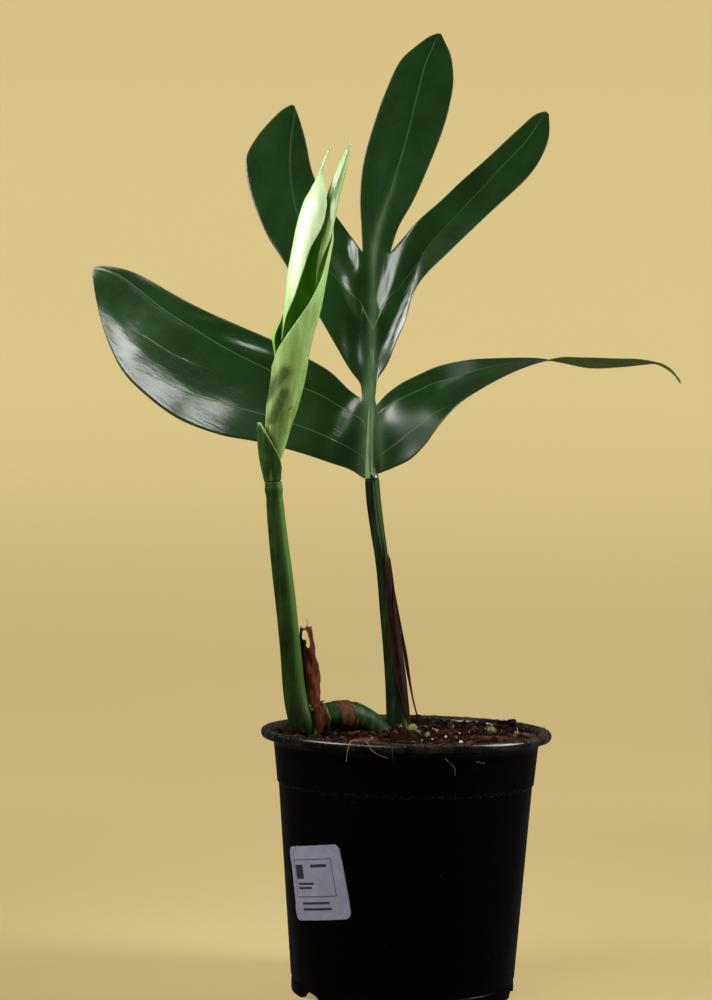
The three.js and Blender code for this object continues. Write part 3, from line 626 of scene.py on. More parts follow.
class Finish:
    """A material's node tree, built by short calls that return sockets."""

    def __init__(self, name, **sockets):
        self.material = bpy.data.materials.new(name)
        self.material.use_nodes = True
        self.tree = self.material.node_tree
        self.shader = self.tree.nodes["Principled BSDF"]
        for key, value in sockets.items():
            self.shader.inputs[key.replace("_", " ")].default_value = value
        self.height = None

    def node(self, kind, inputs=(), **settings):
        made = self.tree.nodes.new("ShaderNode" + kind)
        for key, value in settings.items():
            setattr(made, key, value)
        for key, value in dict(inputs).items():
            if isinstance(value, bpy.types.NodeSocket):
                self.tree.links.new(value, made.inputs[key])
            else:
                made.inputs[key].default_value = value
        return made

    def place(self, stretch=(1, 1, 1)):
        """The point on the object in millimetres, stretched."""
        coords = self.node("TexCoord").outputs["Object"]
        scale = tuple(value / MM for value in stretch)
        return self.node("Mapping", {"Vector": coords, "Scale": scale}).outputs["Vector"]

    def grain(self, vector, stretch, detail):
        """Noise over any vector, its lumps one unit wide before the stretch."""
        spots = self.node("Mapping", {"Vector": vector, "Scale": stretch}).outputs["Vector"]
        return self.node("TexNoise", {"Vector": spots, "Scale": 1, "Detail": detail}).outputs["Fac"]

    def value(self, name):
        return self.node("Attribute", attribute_name=name).outputs["Fac"]

    def noise(self, size, detail=3, stretch=(1, 1, 1), roughness=0.55):
        spots = self.place(stretch)
        inputs = {"Vector": spots, "Scale": 1 / size, "Detail": detail, "Roughness": roughness}
        return self.node("TexNoise", inputs).outputs["Fac"]

    def part(self, axis, vector=None):
        """One coordinate of a vector, or of the point on the object in millimetres."""
        vector = self.place() if vector is None else vector
        return self.node("SeparateXYZ", {"Vector": vector}).outputs[axis]

    def maths(self, operation, a, b=0.0):
        return self.node("Math", {0: a, 1: b}, operation=operation).outputs[0]

    def times(self, *parts):
        return reduce(lambda a, b: self.maths("MULTIPLY", a, b), parts)

    def plus(self, *parts):
        return reduce(lambda a, b: self.maths("ADD", a, b), parts)

    def most(self, *parts):
        return reduce(lambda a, b: self.maths("MAXIMUM", a, b), parts)

    def between(self, a, b, share):
        return self.plus(self.times(a, 1 - share), self.times(b, share))

    def waves(self, value, pitch, wander):
        """Lines along a value, set apart by its pitch and bent by what wanders."""
        return self.maths("SINE", self.plus(self.times(value, pitch), wander))

    def fade(self, value, low, high, start=0.0, end=1.0):
        inputs = {"Value": value, "From Min": low, "From Max": high, "To Min": start, "To Max": end}
        made = self.node("MapRange", inputs, interpolation_type="SMOOTHSTEP")
        return made.outputs["Result"]

    def ramp(self, value, *stops):
        """A colour for each (position, colour) stop."""
        made = self.node("ValToRGB", {"Fac": value})
        elements = made.color_ramp.elements
        while len(elements) < len(stops):
            elements.new(0.5)
        for element, (position, colour) in zip(elements, stops):
            element.position = position
            element.color = srgb(colour)
        return made.outputs["Color"]

    def mix(self, share, a, b, blend="MIX"):
        a, b = (srgb(c) if isinstance(c, str) else c for c in (a, b))
        made = self.node("Mix", {0: share, 6: a, 7: b}, data_type="RGBA", blend_type=blend)
        return made.outputs[2]

    def bump(self, height, depth, strength=1.0):
        """Raises the surface by height times depth in millimetres."""
        inputs = {"Height": height, "Distance": depth * MM, "Strength": strength}
        if self.height is not None:
            inputs["Normal"] = self.height
        self.height = self.node("Bump", inputs).outputs["Normal"]

    def done(self, colour=None, roughness=None):
        for key, value in (("Base Color", colour), ("Roughness", roughness), ("Normal", self.height)):
            if value is not None:
                self.tree.links.new(value, self.shader.inputs[key])
        return self.material


def plastic_finish():
    f = Finish("black_plastic")
    upward = f.part("Z", f.node("NewGeometry").outputs["Normal"])
    height = f.part("Z")
    on_rim = f.fade(height, 143, 149)
    specks = f.fade(f.noise(1.6, 6, roughness=0.75), 0.5, 0.68)
    smudges = f.fade(f.noise(14, 4, stretch=(1, 1, 0.6)), 0.42, 0.7)
    dust = f.times(f.fade(upward, -0.35, 0.7), on_rim, specks)
    off_ledge = f.maths("ABSOLUTE", f.maths("SUBTRACT", height, LEDGE_HEIGHT))
    ledge = f.times(f.fade(off_ledge, 1.6, 0.3), specks)
    grime = f.most(f.times(dust, 0.5), f.times(ledge, 0.2), f.times(on_rim, smudges, 0.15))
    colour = f.mix(grime, "050505", "7a6e64")
    spots = f.fade(f.noise(2.2, 2, roughness=0.4), 0.75, 0.8)
    colour = f.mix(f.times(spots, 0.25), colour, "5a554d")
    f.tree.links.new(f.fade(height, 141, 148, 0.05, 0.45), f.shader.inputs["Specular IOR Level"])
    roughness = f.plus(f.fade(f.noise(9, 5), 0.3, 0.7, 0.16, 0.28), f.times(grime, 0.35))
    f.bump(f.noise(0.8, 3), 0.03, 0.3)
    f.bump(f.noise(3, 2, stretch=(1, 1, 0.05)), 0.04, 0.3)
    return f.done(colour, roughness)


def label_finish():
    f = Finish("label_paper")
    across = f.value("across")
    rise = f.value("rise")

    def box(left, right, low, high, soft=0.12):
        inside_x = f.times(f.fade(across, left, left + soft), f.fade(across, right + soft, right))
        inside_z = f.times(f.fade(rise, low, low + soft), f.fade(rise, high + soft, high))
        return f.times(inside_x, inside_z)

    wear = f.fade(f.noise(0.7, 2), 0.2, 0.45, 0.55, 0.95)
    paper = f.ramp(f.noise(7, 4), (0.3, "8484a0"), (0.7, "9292b0"))
    ink = f.most(*(box(*mark) for mark in LABEL_MARKS))
    colour = f.mix(f.times(ink, wear), paper, "121118")
    f.bump(f.noise(0.35, 2), 0.02, 0.3)
    f.bump(f.noise(11, 2), 0.3, 0.5)
    return f.done(colour, f.fade(f.noise(5, 2), 0.3, 0.7, 0.5, 0.62))


def soil_finish():
    f = Finish("soil_mix", Specular_IOR_Level=0.05)
    tone = f.noise(2.6, 7, roughness=0.72)
    colour = f.ramp(tone, (0.3, "070302"), (0.48, "130905"), (0.6, "2a150c"), (0.74, "643a22"))
    f.bump(f.noise(0.7, 6, roughness=0.75), 0.5, 0.9)
    return f.done(colour, f.fade(tone, 0.3, 0.8, 0.85, 0.7))


def bark_finish():
    f = Finish("bark", Specular_IOR_Level=0.1)
    grain = f.noise(1.4, 5, stretch=(0.5, 0.5, 1.6))
    tone = f.between(grain, f.value("tone"), 0.5)
    colour = f.ramp(tone, (0.2, "0e0704"), (0.5, "2a140a"), (0.8, "54301c"))
    f.bump(grain, 0.35, 0.8)
    return f.done(colour, f.fade(grain, 0.2, 0.8, 0.85, 0.6))


def perlite_finish():
    f = Finish("perlite")
    pores = f.noise(0.5, 4, roughness=0.7)
    colour = f.ramp(pores, (0.3, "94897a"), (0.55, "d5cec2"), (0.8, "ebe5dc"))
    f.bump(pores, 0.2, 0.8)
    return f.done(colour, f.fade(pores, 0.2, 0.8, 0.85, 0.7))


def moss_finish():
    f = Finish("moss", Specular_IOR_Level=0.3)
    tone = f.between(f.noise(1.2, 4), f.value("tone"), 0.5)
    colour = f.ramp(tone, (0.2, "3f4122"), (0.5, "7a7a48"), (0.8, "b4b380"))
    f.bump(f.noise(0.3, 3), 0.15, 0.7)
    return f.done(colour, f.fade(tone, 0.2, 0.8, 0.9, 0.75))


def fibre_finish():
    f = Finish("coir_fibre", Specular_IOR_Level=0.3)
    tone = f.between(f.noise(2, 3), f.value("tone"), 0.7)
    colour = f.ramp(tone, (0.15, "24100a"), (0.45, "522a1b"), (0.7, "7c5540"), (0.95, "a39a92"))
    f.bump(f.noise(0.3, 2, stretch=(1, 1, 3)), 0.05, 0.6)
    return f.done(colour, f.fade(tone, 0.2, 0.8, 0.75, 0.6))


def leaf_finish():
    """Deep green and glossy above, paler and duller below, with fine parallel veins and paler main ones."""
    f = Finish("grown_leaf", Specular_IOR_Level=0.5)
    back = f.value("back")
    lined = f.value("lined")
    patches = f.noise(22, 4)
    fine = f.noise(0.7, 3)
    veins = []
    for name, width in zip(VEIN_NAMES, (0.6, 0.5, 0.5)):
        line = f.fade(f.maths("ABSOLUTE", f.value(name + "_gap")), width, 0.1)
        veins.append(f.times(line, f.value(name + "_shown")))
    vein = f.most(*veins)
    lines = f.times(f.waves(f.value("across"), 5.2, f.times(patches, 9)), lined)
    green = f.ramp(patches, (0.3, "13290f"), (0.55, "183313"), (0.8, "1e3d17"))
    green = f.mix(f.fade(lines, 0.2, 1.0, 0, 0.07), green, "2c5426")
    under = f.ramp(patches, (0.3, "4f7145"), (0.7, "5f8250"))
    colour = f.mix(back, green, under)
    pale = f.mix(back, "5f8150", "86a070")
    colour = f.mix(f.times(vein, f.fade(fine, 0.2, 0.7, 0.4, 0.8)), colour, pale)
    rib_green = f.ramp(f.noise(5, 3, stretch=(2, 2, 0.2)), (0.3, "4c6843"), (0.7, "6f8a64"))
    colour = f.mix(f.value("rib"), colour, rib_green)
    margin = f.fade(f.value("margin"), 1.0, 0.1)
    colour = f.mix(f.times(margin, 0.45), colour, "5d5a35")
    dullness = f.plus(f.times(back, 0.25), f.times(f.value("dull"), 0.55), f.times(margin, 0.25))
    roughness = f.plus(f.fade(fine, 0.25, 0.75, 0.15, 0.23), dullness)
    spot = f.node("CombineXYZ", {"X": f.value("across"), "Y": f.value("length")}).outputs["Vector"]
    broad = f.grain(spot, (0.2, 0.05, 1), 2)
    streaks = f.grain(spot, (0.8, 0.06, 1), 3)
    f.bump(f.times(broad, lined), 0.3, 0.5)
    f.bump(f.times(streaks, lined), 0.08, 0.5)
    f.bump(f.noise(1.1, 3, roughness=0.6), 0.02, 0.5)
    f.bump(vein, 0.09, 0.8)
    return f.done(colour, roughness)


def new_leaf_finish():
    """The rolled leaf: pale green and glossy outside, rich yellow-green inside; its colour holds a painted
    highlight, painted shade and a painted glow.
    """
    glow = {"Subsurface_Weight": 0.2, "Subsurface_Radius": (0.8, 1.0, 0.4), "Subsurface_Scale": 0.0015}
    f = Finish("new_leaf", **glow)
    back = f.value("back")
    patches = f.noise(9, 3, stretch=(1, 1, 0.35))
    lines = f.waves(f.value("across"), 6.5, f.times(patches, 5))
    low_greens = (0.0, "5a7433"), (0.2, "6c8843"), (0.4, "7f9f55")
    high_greens = (0.58, "9cbd78"), (0.75, "b4d092"), (1.0, "557c34")
    outside = f.ramp(f.value("height"), *low_greens, *high_greens)
    outside = f.mix(f.fade(patches, 0.4, 0.7, 0.0, 0.3), outside, "a9c68a")
    # Painted light and shade: lighter and darker bands along the roll, placed at random
    painted_light_and_shade_bands = f.noise(4.5, 3, stretch=(1, 1, 0.12))
    outside = f.mix(f.fade(painted_light_and_shade_bands, 0.5, 0.7, 0, 0.45), outside, "b3d08c")
    outside = f.mix(f.fade(painted_light_and_shade_bands, 0.48, 0.3, 0, 0.4), outside, "5a7a30")
    # Painted highlight: the flank whitened where its gloss falls
    outside = f.mix(f.value("sheen"), outside, "e2f0d4")
    # Painted shade on the flank's left part
    outside = f.mix(f.value("shy"), outside, "55862f")
    # Inside: its own yellow-green, made brighter as painted glow of light coming through the sheet
    inside = f.ramp(patches, (0.3, "5c8e28"), (0.7, "8abb4c"))
    colour = f.mix(back, outside, inside)
    # Painted glow of light through the lip
    colour = f.mix(f.value("bright"), colour, "77b83a")
    colour = f.mix(f.fade(lines, 0.3, 1.0, 0, 0.14), colour, "c9e0a4")
    uneven = f.fade(f.noise(7, 3, stretch=(1, 1, 0.6)), 0.3, 0.6, 0.85, 1.0)
    # Painted shade: darker stripes down the front of the rolled leaf
    colour = f.mix(f.times(f.value("shade"), uneven, 0.9), colour, "2f4010")
    colour = f.mix(f.fade(f.value("scar"), 0.35, 0.8), colour, "6e3a22")
    fine = f.noise(0.6, 3)
    f.bump(f.noise(5, 3, stretch=(1, 1, 0.3)), 0.5, 0.5)
    f.bump(fine, 0.05, 0.5)
    f.bump(lines, 0.04, 0.6)
    return f.done(colour, f.plus(f.fade(fine, 0.25, 0.75, 0.2, 0.32), f.times(back, 0.35)))


def stem_finish(name, lit, shade, pale, gloss=0.46):
    """Living green skin: fine lengthwise lines, faint dark specks and paler streaks."""
    f = Finish(name, Specular_IOR_Level=0.1)
    streaks = f.noise(3.2, 4, stretch=(1, 1, 0.07))
    patches = f.noise(16, 3)
    colour = f.mix(f.fade(patches, 0.3, 0.7), shade, lit)
    colour = f.mix(f.fade(streaks, 0.52, 0.75, 0, 0.2), colour, pale)
    specks = f.fade(f.noise(0.9, 2, stretch=(1, 1, 0.5)), 0.68, 0.74)
    colour = f.mix(f.times(specks, 0.55), colour, "17230c")
    # Paler where marked: the bud, the collar's pale rim, and painted light down the lit sides of the
    # petioles
    colour = f.mix(f.value("mark"), colour, pale)
    f.bump(streaks, 0.12, 0.6)
    f.bump(f.noise(0.7, 3), 0.04, 0.5)
    return f.done(colour, f.fade(f.noise(1.2, 3), 0.3, 0.7, gloss - 0.06, gloss + 0.1))


def rhizome_finish():
    f = Finish("rhizome_skin", Specular_IOR_Level=0.12)
    patches = f.noise(6, 4)
    colour = f.ramp(patches, (0.3, "142a10"), (0.6, "1e3f1d"), (0.85, "335a30"))
    colour = f.mix(f.times(f.fade(f.part("Z"), 163, 152), 0.7), colour, "1c2a14")
    colour = f.mix(f.times(f.value("mark"), 0.18), colour, "6e6a3c")
    corks = f.fade(f.noise(1.1, 3), 0.66, 0.74)
    colour = f.mix(f.times(corks, 0.4), colour, "6a5a38")
    f.bump(f.noise(1.5, 4, stretch=(0.4, 1, 1)), 0.2, 0.6)
    return f.done(colour, f.fade(f.noise(1.4, 3), 0.3, 0.7, 0.34, 0.5))


def dry_finish(name, dark, middle, light, edge):
    """Dead papery tissue: lengthwise fibres, lighter along its torn edges."""
    f = Finish(name, Specular_IOR_Level=0.06)
    fibres = f.noise(1.1, 5, stretch=(1, 1, 0.06))
    tone = f.between(fibres, f.noise(7, 3), 0.4)
    colour = f.ramp(tone, (0.3, dark), (0.5, middle), (0.7, light))
    colour = f.mix(f.times(f.value("rim"), 0.75), colour, edge)
    f.bump(fibres, 0.25, 0.8)
    f.bump(f.noise(2.5, 3), 0.3, 0.6)
    return f.done(colour, f.fade(fibres, 0.3, 0.7, 0.5, 0.75))


PLASTIC = plastic_finish()
PAPER = label_finish()
SOIL = soil_finish()
BARK = bark_finish()
PERLITE = perlite_finish()
MOSS = moss_finish()
FIBRE = fibre_finish()
LEAF = leaf_finish()
NEW_LEAF = new_leaf_finish()
NEW_STEM = stem_finish("new_petiole_skin", "22360e", "141f07", "4b7224")
CUP_SKIN = stem_finish("new_sheath_skin", "2b4716", "15240a", "9ab56c")
OLD_STEM = stem_finish("mature_petiole_skin", "152408", "0a1204", "4c6d2c")
RHIZOME_SKIN = rhizome_finish()
DRY_BROWN = dry_finish("dry_sheath_brown", "1c0c05", "4a2410", "7a4625", "966a45")
DRY_COLLAR = dry_finish("dry_collar_brown", "3a1f15", "633b2b", "86614c", "a89480")
DRY_DARK = dry_finish("dry_strip_dark", "0f0704", "211008", "3d2213", "644024")
DRY_BAND = dry_finish("dry_band_brown", "2e1b12", "4e3021", "6a4731", "8a7050")


# Pot
def pot_profile():
    foot = POT_FOOT_RADIUS
    rim = POT_RIM_RADIUS
    base = [
        (0, 0), (19.6, 0), (20, 0.15), (21.8, 3.8), (22.2, 4), (foot - 5.7, 4), (foot - 5.3, 3.7),
        (foot - 3.7, 0.3), (foot - 3.2, 0), (foot - 0.5, 0), (foot - 0.1, 0.2), (foot, 0.6),
        (foot, 6.2), (foot - 0.1, 6.6), (foot - 0.5, 7.1), (foot - 0.5, 8.2), (foot - 0.1, 8.8),
        (foot + 0.4, 9.4),
    ]
    collar = [
        (74.15, 120.2), (74.4, 121), (75.1, 121.7), (75.25, 122.4), (75.4, 124.6), (76.9, 139),
        (77.4, 143.5),
    ]
    roll = [
        (77.4, 143.5), (78.0, 145.1), (79.6, 146.3), (82, 147), (84.2, 147.7), (rim, 149.6), (84.7, 151.3),
        (83.2, POT_HEIGHT), (81.4, 152.3), (79.6, 151.5), (78.5, 149.7), (77.7, 146.9), (75.9, 143),
    ]
    curve = Curve([(x, 0, z) for x, z in roll])
    rolled = curve.at(np.linspace(0, 1, 44))[:, (0, 2)].tolist()
    inside = [
        (73.9, 124), (73.5, 122.2), (72.8, 121), (foot + 0.4 - POT_WALL, 9.5), (foot - 1.6, 7.8),
        (foot - 2.5, POT_FLOOR_TOP), (0, POT_FLOOR_TOP),
    ]
    return np.array(base + collar + rolled[1:] + inside)


def circle(count):
    """Angles set evenly round a circle, in radians."""
    return np.arange(count) * 2 * math.pi / count


def polar(radius, angle, height=0.0):
    """Points at a distance from the pot's axis, an angle from +X and a height."""
    return np.stack(np.broadcast_arrays(radius * np.cos(angle), radius * np.sin(angle), height), -1)


def lathe(profile, segments):
    """Points of a profile turned round Z."""
    return polar(profile[:, 0, None], circle(segments), profile[:, 1, None])


def pot_cutters():
    """The arched notches round the foot and the drain holes in the floor, as one mesh."""
    points, faces = [], []
    sides = CUTTER_SIDES

    def prism(start, end):
        first = len(points)
        points.extend(np.concatenate([start, end]).tolist())
        for k in range(sides):
            after = (k + 1) % sides
            faces.append([first + k, first + after, first + sides + after, first + sides + k])
        faces.append(list(range(first + sides - 1, first - 1, -1)))
        faces.append(list(range(first + sides, first + 2 * sides)))

    ring = circle(sides)
    for i in range(NOTCH_COUNT):
        turn = math.radians(NOTCH_FIRST_ANGLE + i * 360 / NOTCH_COUNT)
        out = np.array([math.sin(turn), -math.cos(turn), 0])
        side = np.array([math.cos(turn), math.sin(turn), 0])
        arch = np.outer(NOTCH_HALF_WIDTH * np.cos(ring), side)
        arch[:, 2] += NOTCH_HEIGHT * np.sin(ring)
        prism(*(arch + out * (POT_FOOT_RADIUS + reach) for reach in (-CUTTER_REACH, CUTTER_REACH)))
    for centre in polar(DRAIN_CIRCLE_RADIUS, circle(DRAIN_COUNT)):
        disc = centre + polar(DRAIN_RADIUS, ring)
        prism(disc, disc + (0, 0, CUTTER_REACH))
    return in_scene("cutter", mesh_of("cutter", points, faces))


def build_pot():
    profile = pot_profile()
    faces = grid_faces(len(profile) - 1, POT_SEGMENTS, closed=True)[:, ::-1]
    shape = Shape()
    shape.add(lathe(profile, POT_SEGMENTS), faces)
    pot = shape.piece("nursery_pot", PLASTIC, "pot_plastic", "pot")
    tool = pot_cutters()
    merge = pot.modifiers.new("merge", "WELD")
    merge.merge_threshold = 1e-6
    cut = pot.modifiers.new("cut", "BOOLEAN")
    cut.operation = "DIFFERENCE"
    cut.solver = "EXACT"
    cut.object = tool
    bpy.context.view_layer.update()
    graph = bpy.context.evaluated_depsgraph_get()
    cut_mesh = bpy.data.meshes.new_from_object(pot.evaluated_get(graph))
    pot.modifiers.clear()
    pot.data = cut_mesh
    pot.data.shade_smooth()
    pot.data.set_sharp_from_angle(angle=math.radians(POT_SHARP_ANGLE))
    bpy.data.objects.remove(tool)


def build_label():
    columns, rows = 60, 48
    side = np.linspace(-1, 1, columns + 1)
    up = np.sin(np.linspace(-math.pi / 2, math.pi / 2, rows + 1))
    share_x, share_z = np.meshgrid(side, up)
    rise = share_z * LABEL_HEIGHT / 2
    corner = np.clip(np.abs(rise) - (LABEL_HEIGHT / 2 - LABEL_CORNER), 0, LABEL_CORNER)
    pulled_in = LABEL_CORNER - np.sqrt(LABEL_CORNER**2 - corner**2)
    across = share_x * (LABEL_WIDTH / 2 - pulled_in)
    tilt = math.radians(LABEL_TILT)
    height = LABEL_CENTRE_HEIGHT + across * math.sin(tilt) + rise * math.cos(tilt)
    wall = np.interp(height, *zip(WALL_LOW, WALL_HIGH))
    spots = np.stack([across, rise, 0 * rise], -1)
    loose_corner = 0.35 * (np.hypot(across / 23, rise / 21) > 1.15)
    lift = 0.12 + 0.1 * roughly(spots, 9, 2) ** 2 + loose_corner
    radius = wall + LABEL_THICKNESS / 2 + lift
    angle = math.radians(LABEL_ANGLE) + (across * math.cos(tilt) - rise * math.sin(tilt)) / radius
    points = np.stack([radius * np.sin(angle), -radius * np.cos(angle), height], -1)
    shape = Shape()
    shape.add_plate(points, grid_faces(rows, columns), LABEL_THICKNESS, across=across, rise=rise)
    shape.piece("pot_label_sticker", PAPER, "label_paper", "pot_label")


# Soil
def soil_height(radius, angle):
    dome = SOIL_TOP - SOIL_EDGE_DROP * (radius / SOIL_EDGE_RADIUS) ** 2
    lumps = np.sin(3 * angle + radius / 9) + np.sin(5 * angle - radius / 6 + 1)
    return dome + 0.5 * lumps * np.sin(math.pi * radius / SOIL_EDGE_RADIUS)


def ground_at(x, y):
    return soil_height(np.hypot(x, y), np.arctan2(y, x))


def ball(detail):
    """A round unit mesh of triangles."""
    mesh = bmesh.new()
    bmesh.ops.create_icosphere(mesh, subdivisions=detail, radius=1)
    points = np.array([vertex.co for vertex in mesh.verts])
    faces = np.array([[vertex.index for vertex in face.verts] for face in mesh.faces])
    mesh.free()
    return points, faces


def spun(points, i, j, angle):
    """The points turned from axis i towards axis j."""
    cos, sin = math.cos(angle), math.sin(angle)
    moved = points.copy()
    moved[:, i] = cos * points[:, i] - sin * points[:, j]
    moved[:, j] = sin * points[:, i] + cos * points[:, j]
    return moved


def turned(points, draw):
    """The points turned at random."""
    for (i, j), angle in zip(((0, 1), (1, 2), (0, 1)), draw.uniform(0, 2 * math.pi, 3)):
        points = spun(points, i, j, angle)
    return points


def anywhere(draw, reach):
    """A distance from the middle and an angle, spread evenly over a disc."""
    return reach * math.sqrt(draw.random()), draw.uniform(0, 2 * math.pi)


def lump(draw, points, size, squash, rough):
    """A ball's points made uneven."""
    return points * (1 + rough * draw.normal(size=(len(points), 1))) * size * draw.uniform(squash, 1, 3)


def add_lump(shape, draw, unit, size, squash, rough, radius, angle, lift):
    points, faces = unit
    form = lump(draw, points, size, squash, rough)
    place = polar(radius, angle, soil_height(radius, angle) + lift * size)
    shape.add(turned(form, draw) + place, faces, tone=draw.random())


def scatter(shape, draw, count, sizes, squash, detail, rough):
    """Uneven lumps over the soil, more small ones than large."""
    unit = ball(detail)
    for _ in range(count):
        size = lerp(*sizes, draw.random() ** 2.2)
        radius, angle = anywhere(draw, SOIL_EDGE_RADIUS - size)
        add_lump(shape, draw, unit, size, squash, rough, radius, angle, lift=0.2)


def build_soil(draw):
    rings = np.concatenate([np.linspace(0, 70, 54), np.linspace(70.8, SOIL_EDGE_RADIUS, 7)])[::-1]
    angle = circle(SOIL_SEGMENTS)
    radius = rings[:, None]
    top = polar(radius, angle, soil_height(radius, angle))
    flat = top * (1, 1, 0)
    loose = 1.0 * roughly(flat, 7, 3, 1) + 0.8 * roughly(flat, 2.4, 3, 2)
    top[..., 2] += loose * smoothstep(SOIL_EDGE_RADIUS - radius, 0, 2)
    bottom = POT_FLOOR_TOP + FIT_GAP
    wall = np.array([(0, bottom), (61.8, bottom), (63.4, 9.9), (72.3, 121.2), (73.4, 124.2), (75.3, 142.8)])
    points = np.concatenate([lathe(wall, SOIL_SEGMENTS), top])
    shape = Shape()
    shape.add(points, grid_faces(len(points) - 1, SOIL_SEGMENTS, closed=True)[:, ::-1])
    for lumps in SOIL_LUMPS:
        scatter(shape, draw, *lumps)
    unit = ball(2)
    for count, angles, distances, sizes, rough, lifts in SOIL_BANKS:
        for _ in range(count):
            spot = math.radians(draw.uniform(*angles))
            size = draw.uniform(*sizes)
            distance = draw.uniform(*distances)
            add_lump(shape, draw, unit, size, 0.6, rough, distance, spot, draw.uniform(*lifts))
    for turn, out, count in BACK_HEAPS:
        for _ in range(count):
            off = draw.normal()
            spot = math.radians(turn + 2.6 * off)
            size = draw.uniform(1.0, 2.3)
            place = polar(out + draw.normal() * 1.2, spot)
            form = lump(draw, unit[0], size, 0.6, 0.14)
            rise = POT_HEIGHT - 0.6 + draw.uniform(0, 1.8) * bell(off)
            shape.add(turned(form, draw) * (1.3, 1.3, 0.7) + place + (0, 0, rise), unit[1])
    shape.piece("soil_mix", SOIL, "soil", "potting_soil")


def build_bark(draw):
    shape = Shape()
    points, faces = ball(2)
    slab = np.sign(points) * np.abs(points) ** 0.45
    for _ in range(BARK_COUNT):
        size = lerp(0.8, 3.2, draw.random() ** 2.2)
        radius, angle = anywhere(draw, SOIL_EDGE_RADIUS - size * 1.5)
        form = slab * (1, 0.55, 0.35) * size * draw.uniform(0.7, 1.2, 3)
        form = form + 0.14 * size * roughly(form + 31 * draw.random(), size * 0.6, 2)[:, None] * points
        form = spun(form, 0, 2, draw.uniform(-0.9, 0.9))
        form = spun(form, 0, 1, draw.uniform(0, 2 * math.pi))
        height = soil_height(radius, angle) + draw.uniform(0.1, 0.7) * size
        shape.add(form + polar(radius, angle, height), faces, tone=draw.random())
    shape.piece("bark_chips", BARK, "soil")


def build_perlite(draw):
    """White grains at the surface: a few where they show at the front, the rest at random."""
    shape = Shape()
    points, faces = ball(3)
    others = [(*draw.uniform(-60, 60, 2), draw.uniform(0.3, 0.7)) for _ in range(HIDDEN_PERLITE_COUNT)]
    for x, y, size in SEEN_PERLITE + others:
        rough = 1 + 0.12 * roughly(points + 7 * size + x, 0.7, 2)[:, None]
        form = points * rough * size * draw.uniform(0.75, 1.1, 3)
        height = ground_at(x, y) + 0.9 * size + 0.5
        shape.add(turned(form, draw) + (x, y, height), faces)
    shape.piece("perlite_grains", PERLITE, "soil")


def add_thread(shape, path, radius, sides, rows, tone, taper):
    """A thin round thread along a path."""
    stem = Stem([(*point, radius) for point in path])

    def thinner(t, degrees):
        return -radius * taper * t

    shape.add_limb(stem, rows, sides, thinner, tone=tone)


def build_moss(draw):
    """Pale green pellets and tufts of bog moss: a lumpy core with short curled sprigs."""
    shape = Shape()
    points, faces = ball(3)
    for x, y, size in MOSS_CLUMPS:
        ground = ground_at(x, y)
        lumps = 1 + 0.28 * roughly(points + x, 0.45, 3)[:, None]
        core = points * lumps * size * (0.8, 0.8, 0.72)
        shape.add(core + (x, y, ground + 0.5 * size), faces, tone=draw.uniform(0.25, 0.6))
        for _ in range(int(14 * size)):
            out = draw.normal(size=3)
            out /= np.linalg.norm(out)
            start = np.array([x, y, ground + 0.5 * size]) + out * size * 0.7
            curl = draw.normal(size=3) * 0.6
            length = draw.uniform(0.5, 1.2)
            path = [start + length * s * (out + curl * s) for s in (0, 0.35, 0.7, 1)]
            add_thread(shape, path, draw.uniform(0.15, 0.3), 5, 5, draw.random(), 0.7)
    shape.piece("moss_tufts", MOSS, "soil")


def build_fibres(draw):
    """Coir in tangles, a red-brown tuft at the right among them, and single hairs everywhere."""
    shape = Shape()
    for x, y, wide, deep, count, tones in COIR_TANGLES:
        for _ in range(count):
            cx, cy = x + draw.normal() * wide * 0.4, y + draw.normal() * deep * 0.6
            if math.hypot(cx, cy) > SOIL_EDGE_RADIUS:
                continue
            heading = draw.uniform(-0.7, 0.7)
            length = draw.uniform(4, 13)
            bow = draw.uniform(-0.35, 0.35)
            path = []
            for s in np.linspace(-0.5, 0.5, 6):
                px = cx + length * s * math.cos(heading) - length * bow * s * s * math.sin(heading)
                py = cy + length * s * math.sin(heading) + length * bow * s * s * math.cos(heading)
                arch = 1.6 * (1 - 4 * s * s) + draw.uniform(0, 0.5)
                path.append((px, py, min(ground_at(px, py) + 0.4 + arch, POT_HEIGHT + 1.5)))
            add_thread(shape, path, draw.uniform(0.09, 0.2), 4, 10, draw.uniform(*tones), 0.5)
    for _ in range(HAIR_COUNT):
        x, y, _ = polar(*anywhere(draw, HAIR_REACH))
        heading, length = draw.uniform(0, 2 * math.pi), draw.uniform(2, 7)
        rise = draw.uniform(0, 1.6)
        path = []
        for s in (0, 0.3, 0.6, 1):
            px, py = x + length * s * math.cos(heading + s), y + length * s * math.sin(heading + s)
            shrink = min(1, HAIR_LIMIT / max(math.hypot(px, py), 1e-6))
            path.append((px * shrink, py * shrink, ground_at(px, py) + 0.6 + rise * math.sin(3 * s)))
        add_thread(shape, path, draw.uniform(0.07, 0.16), 4, 8, draw.uniform(0.1, 0.95), 0.5)
    shape.piece("coir_fibres", FIBRE, "soil")


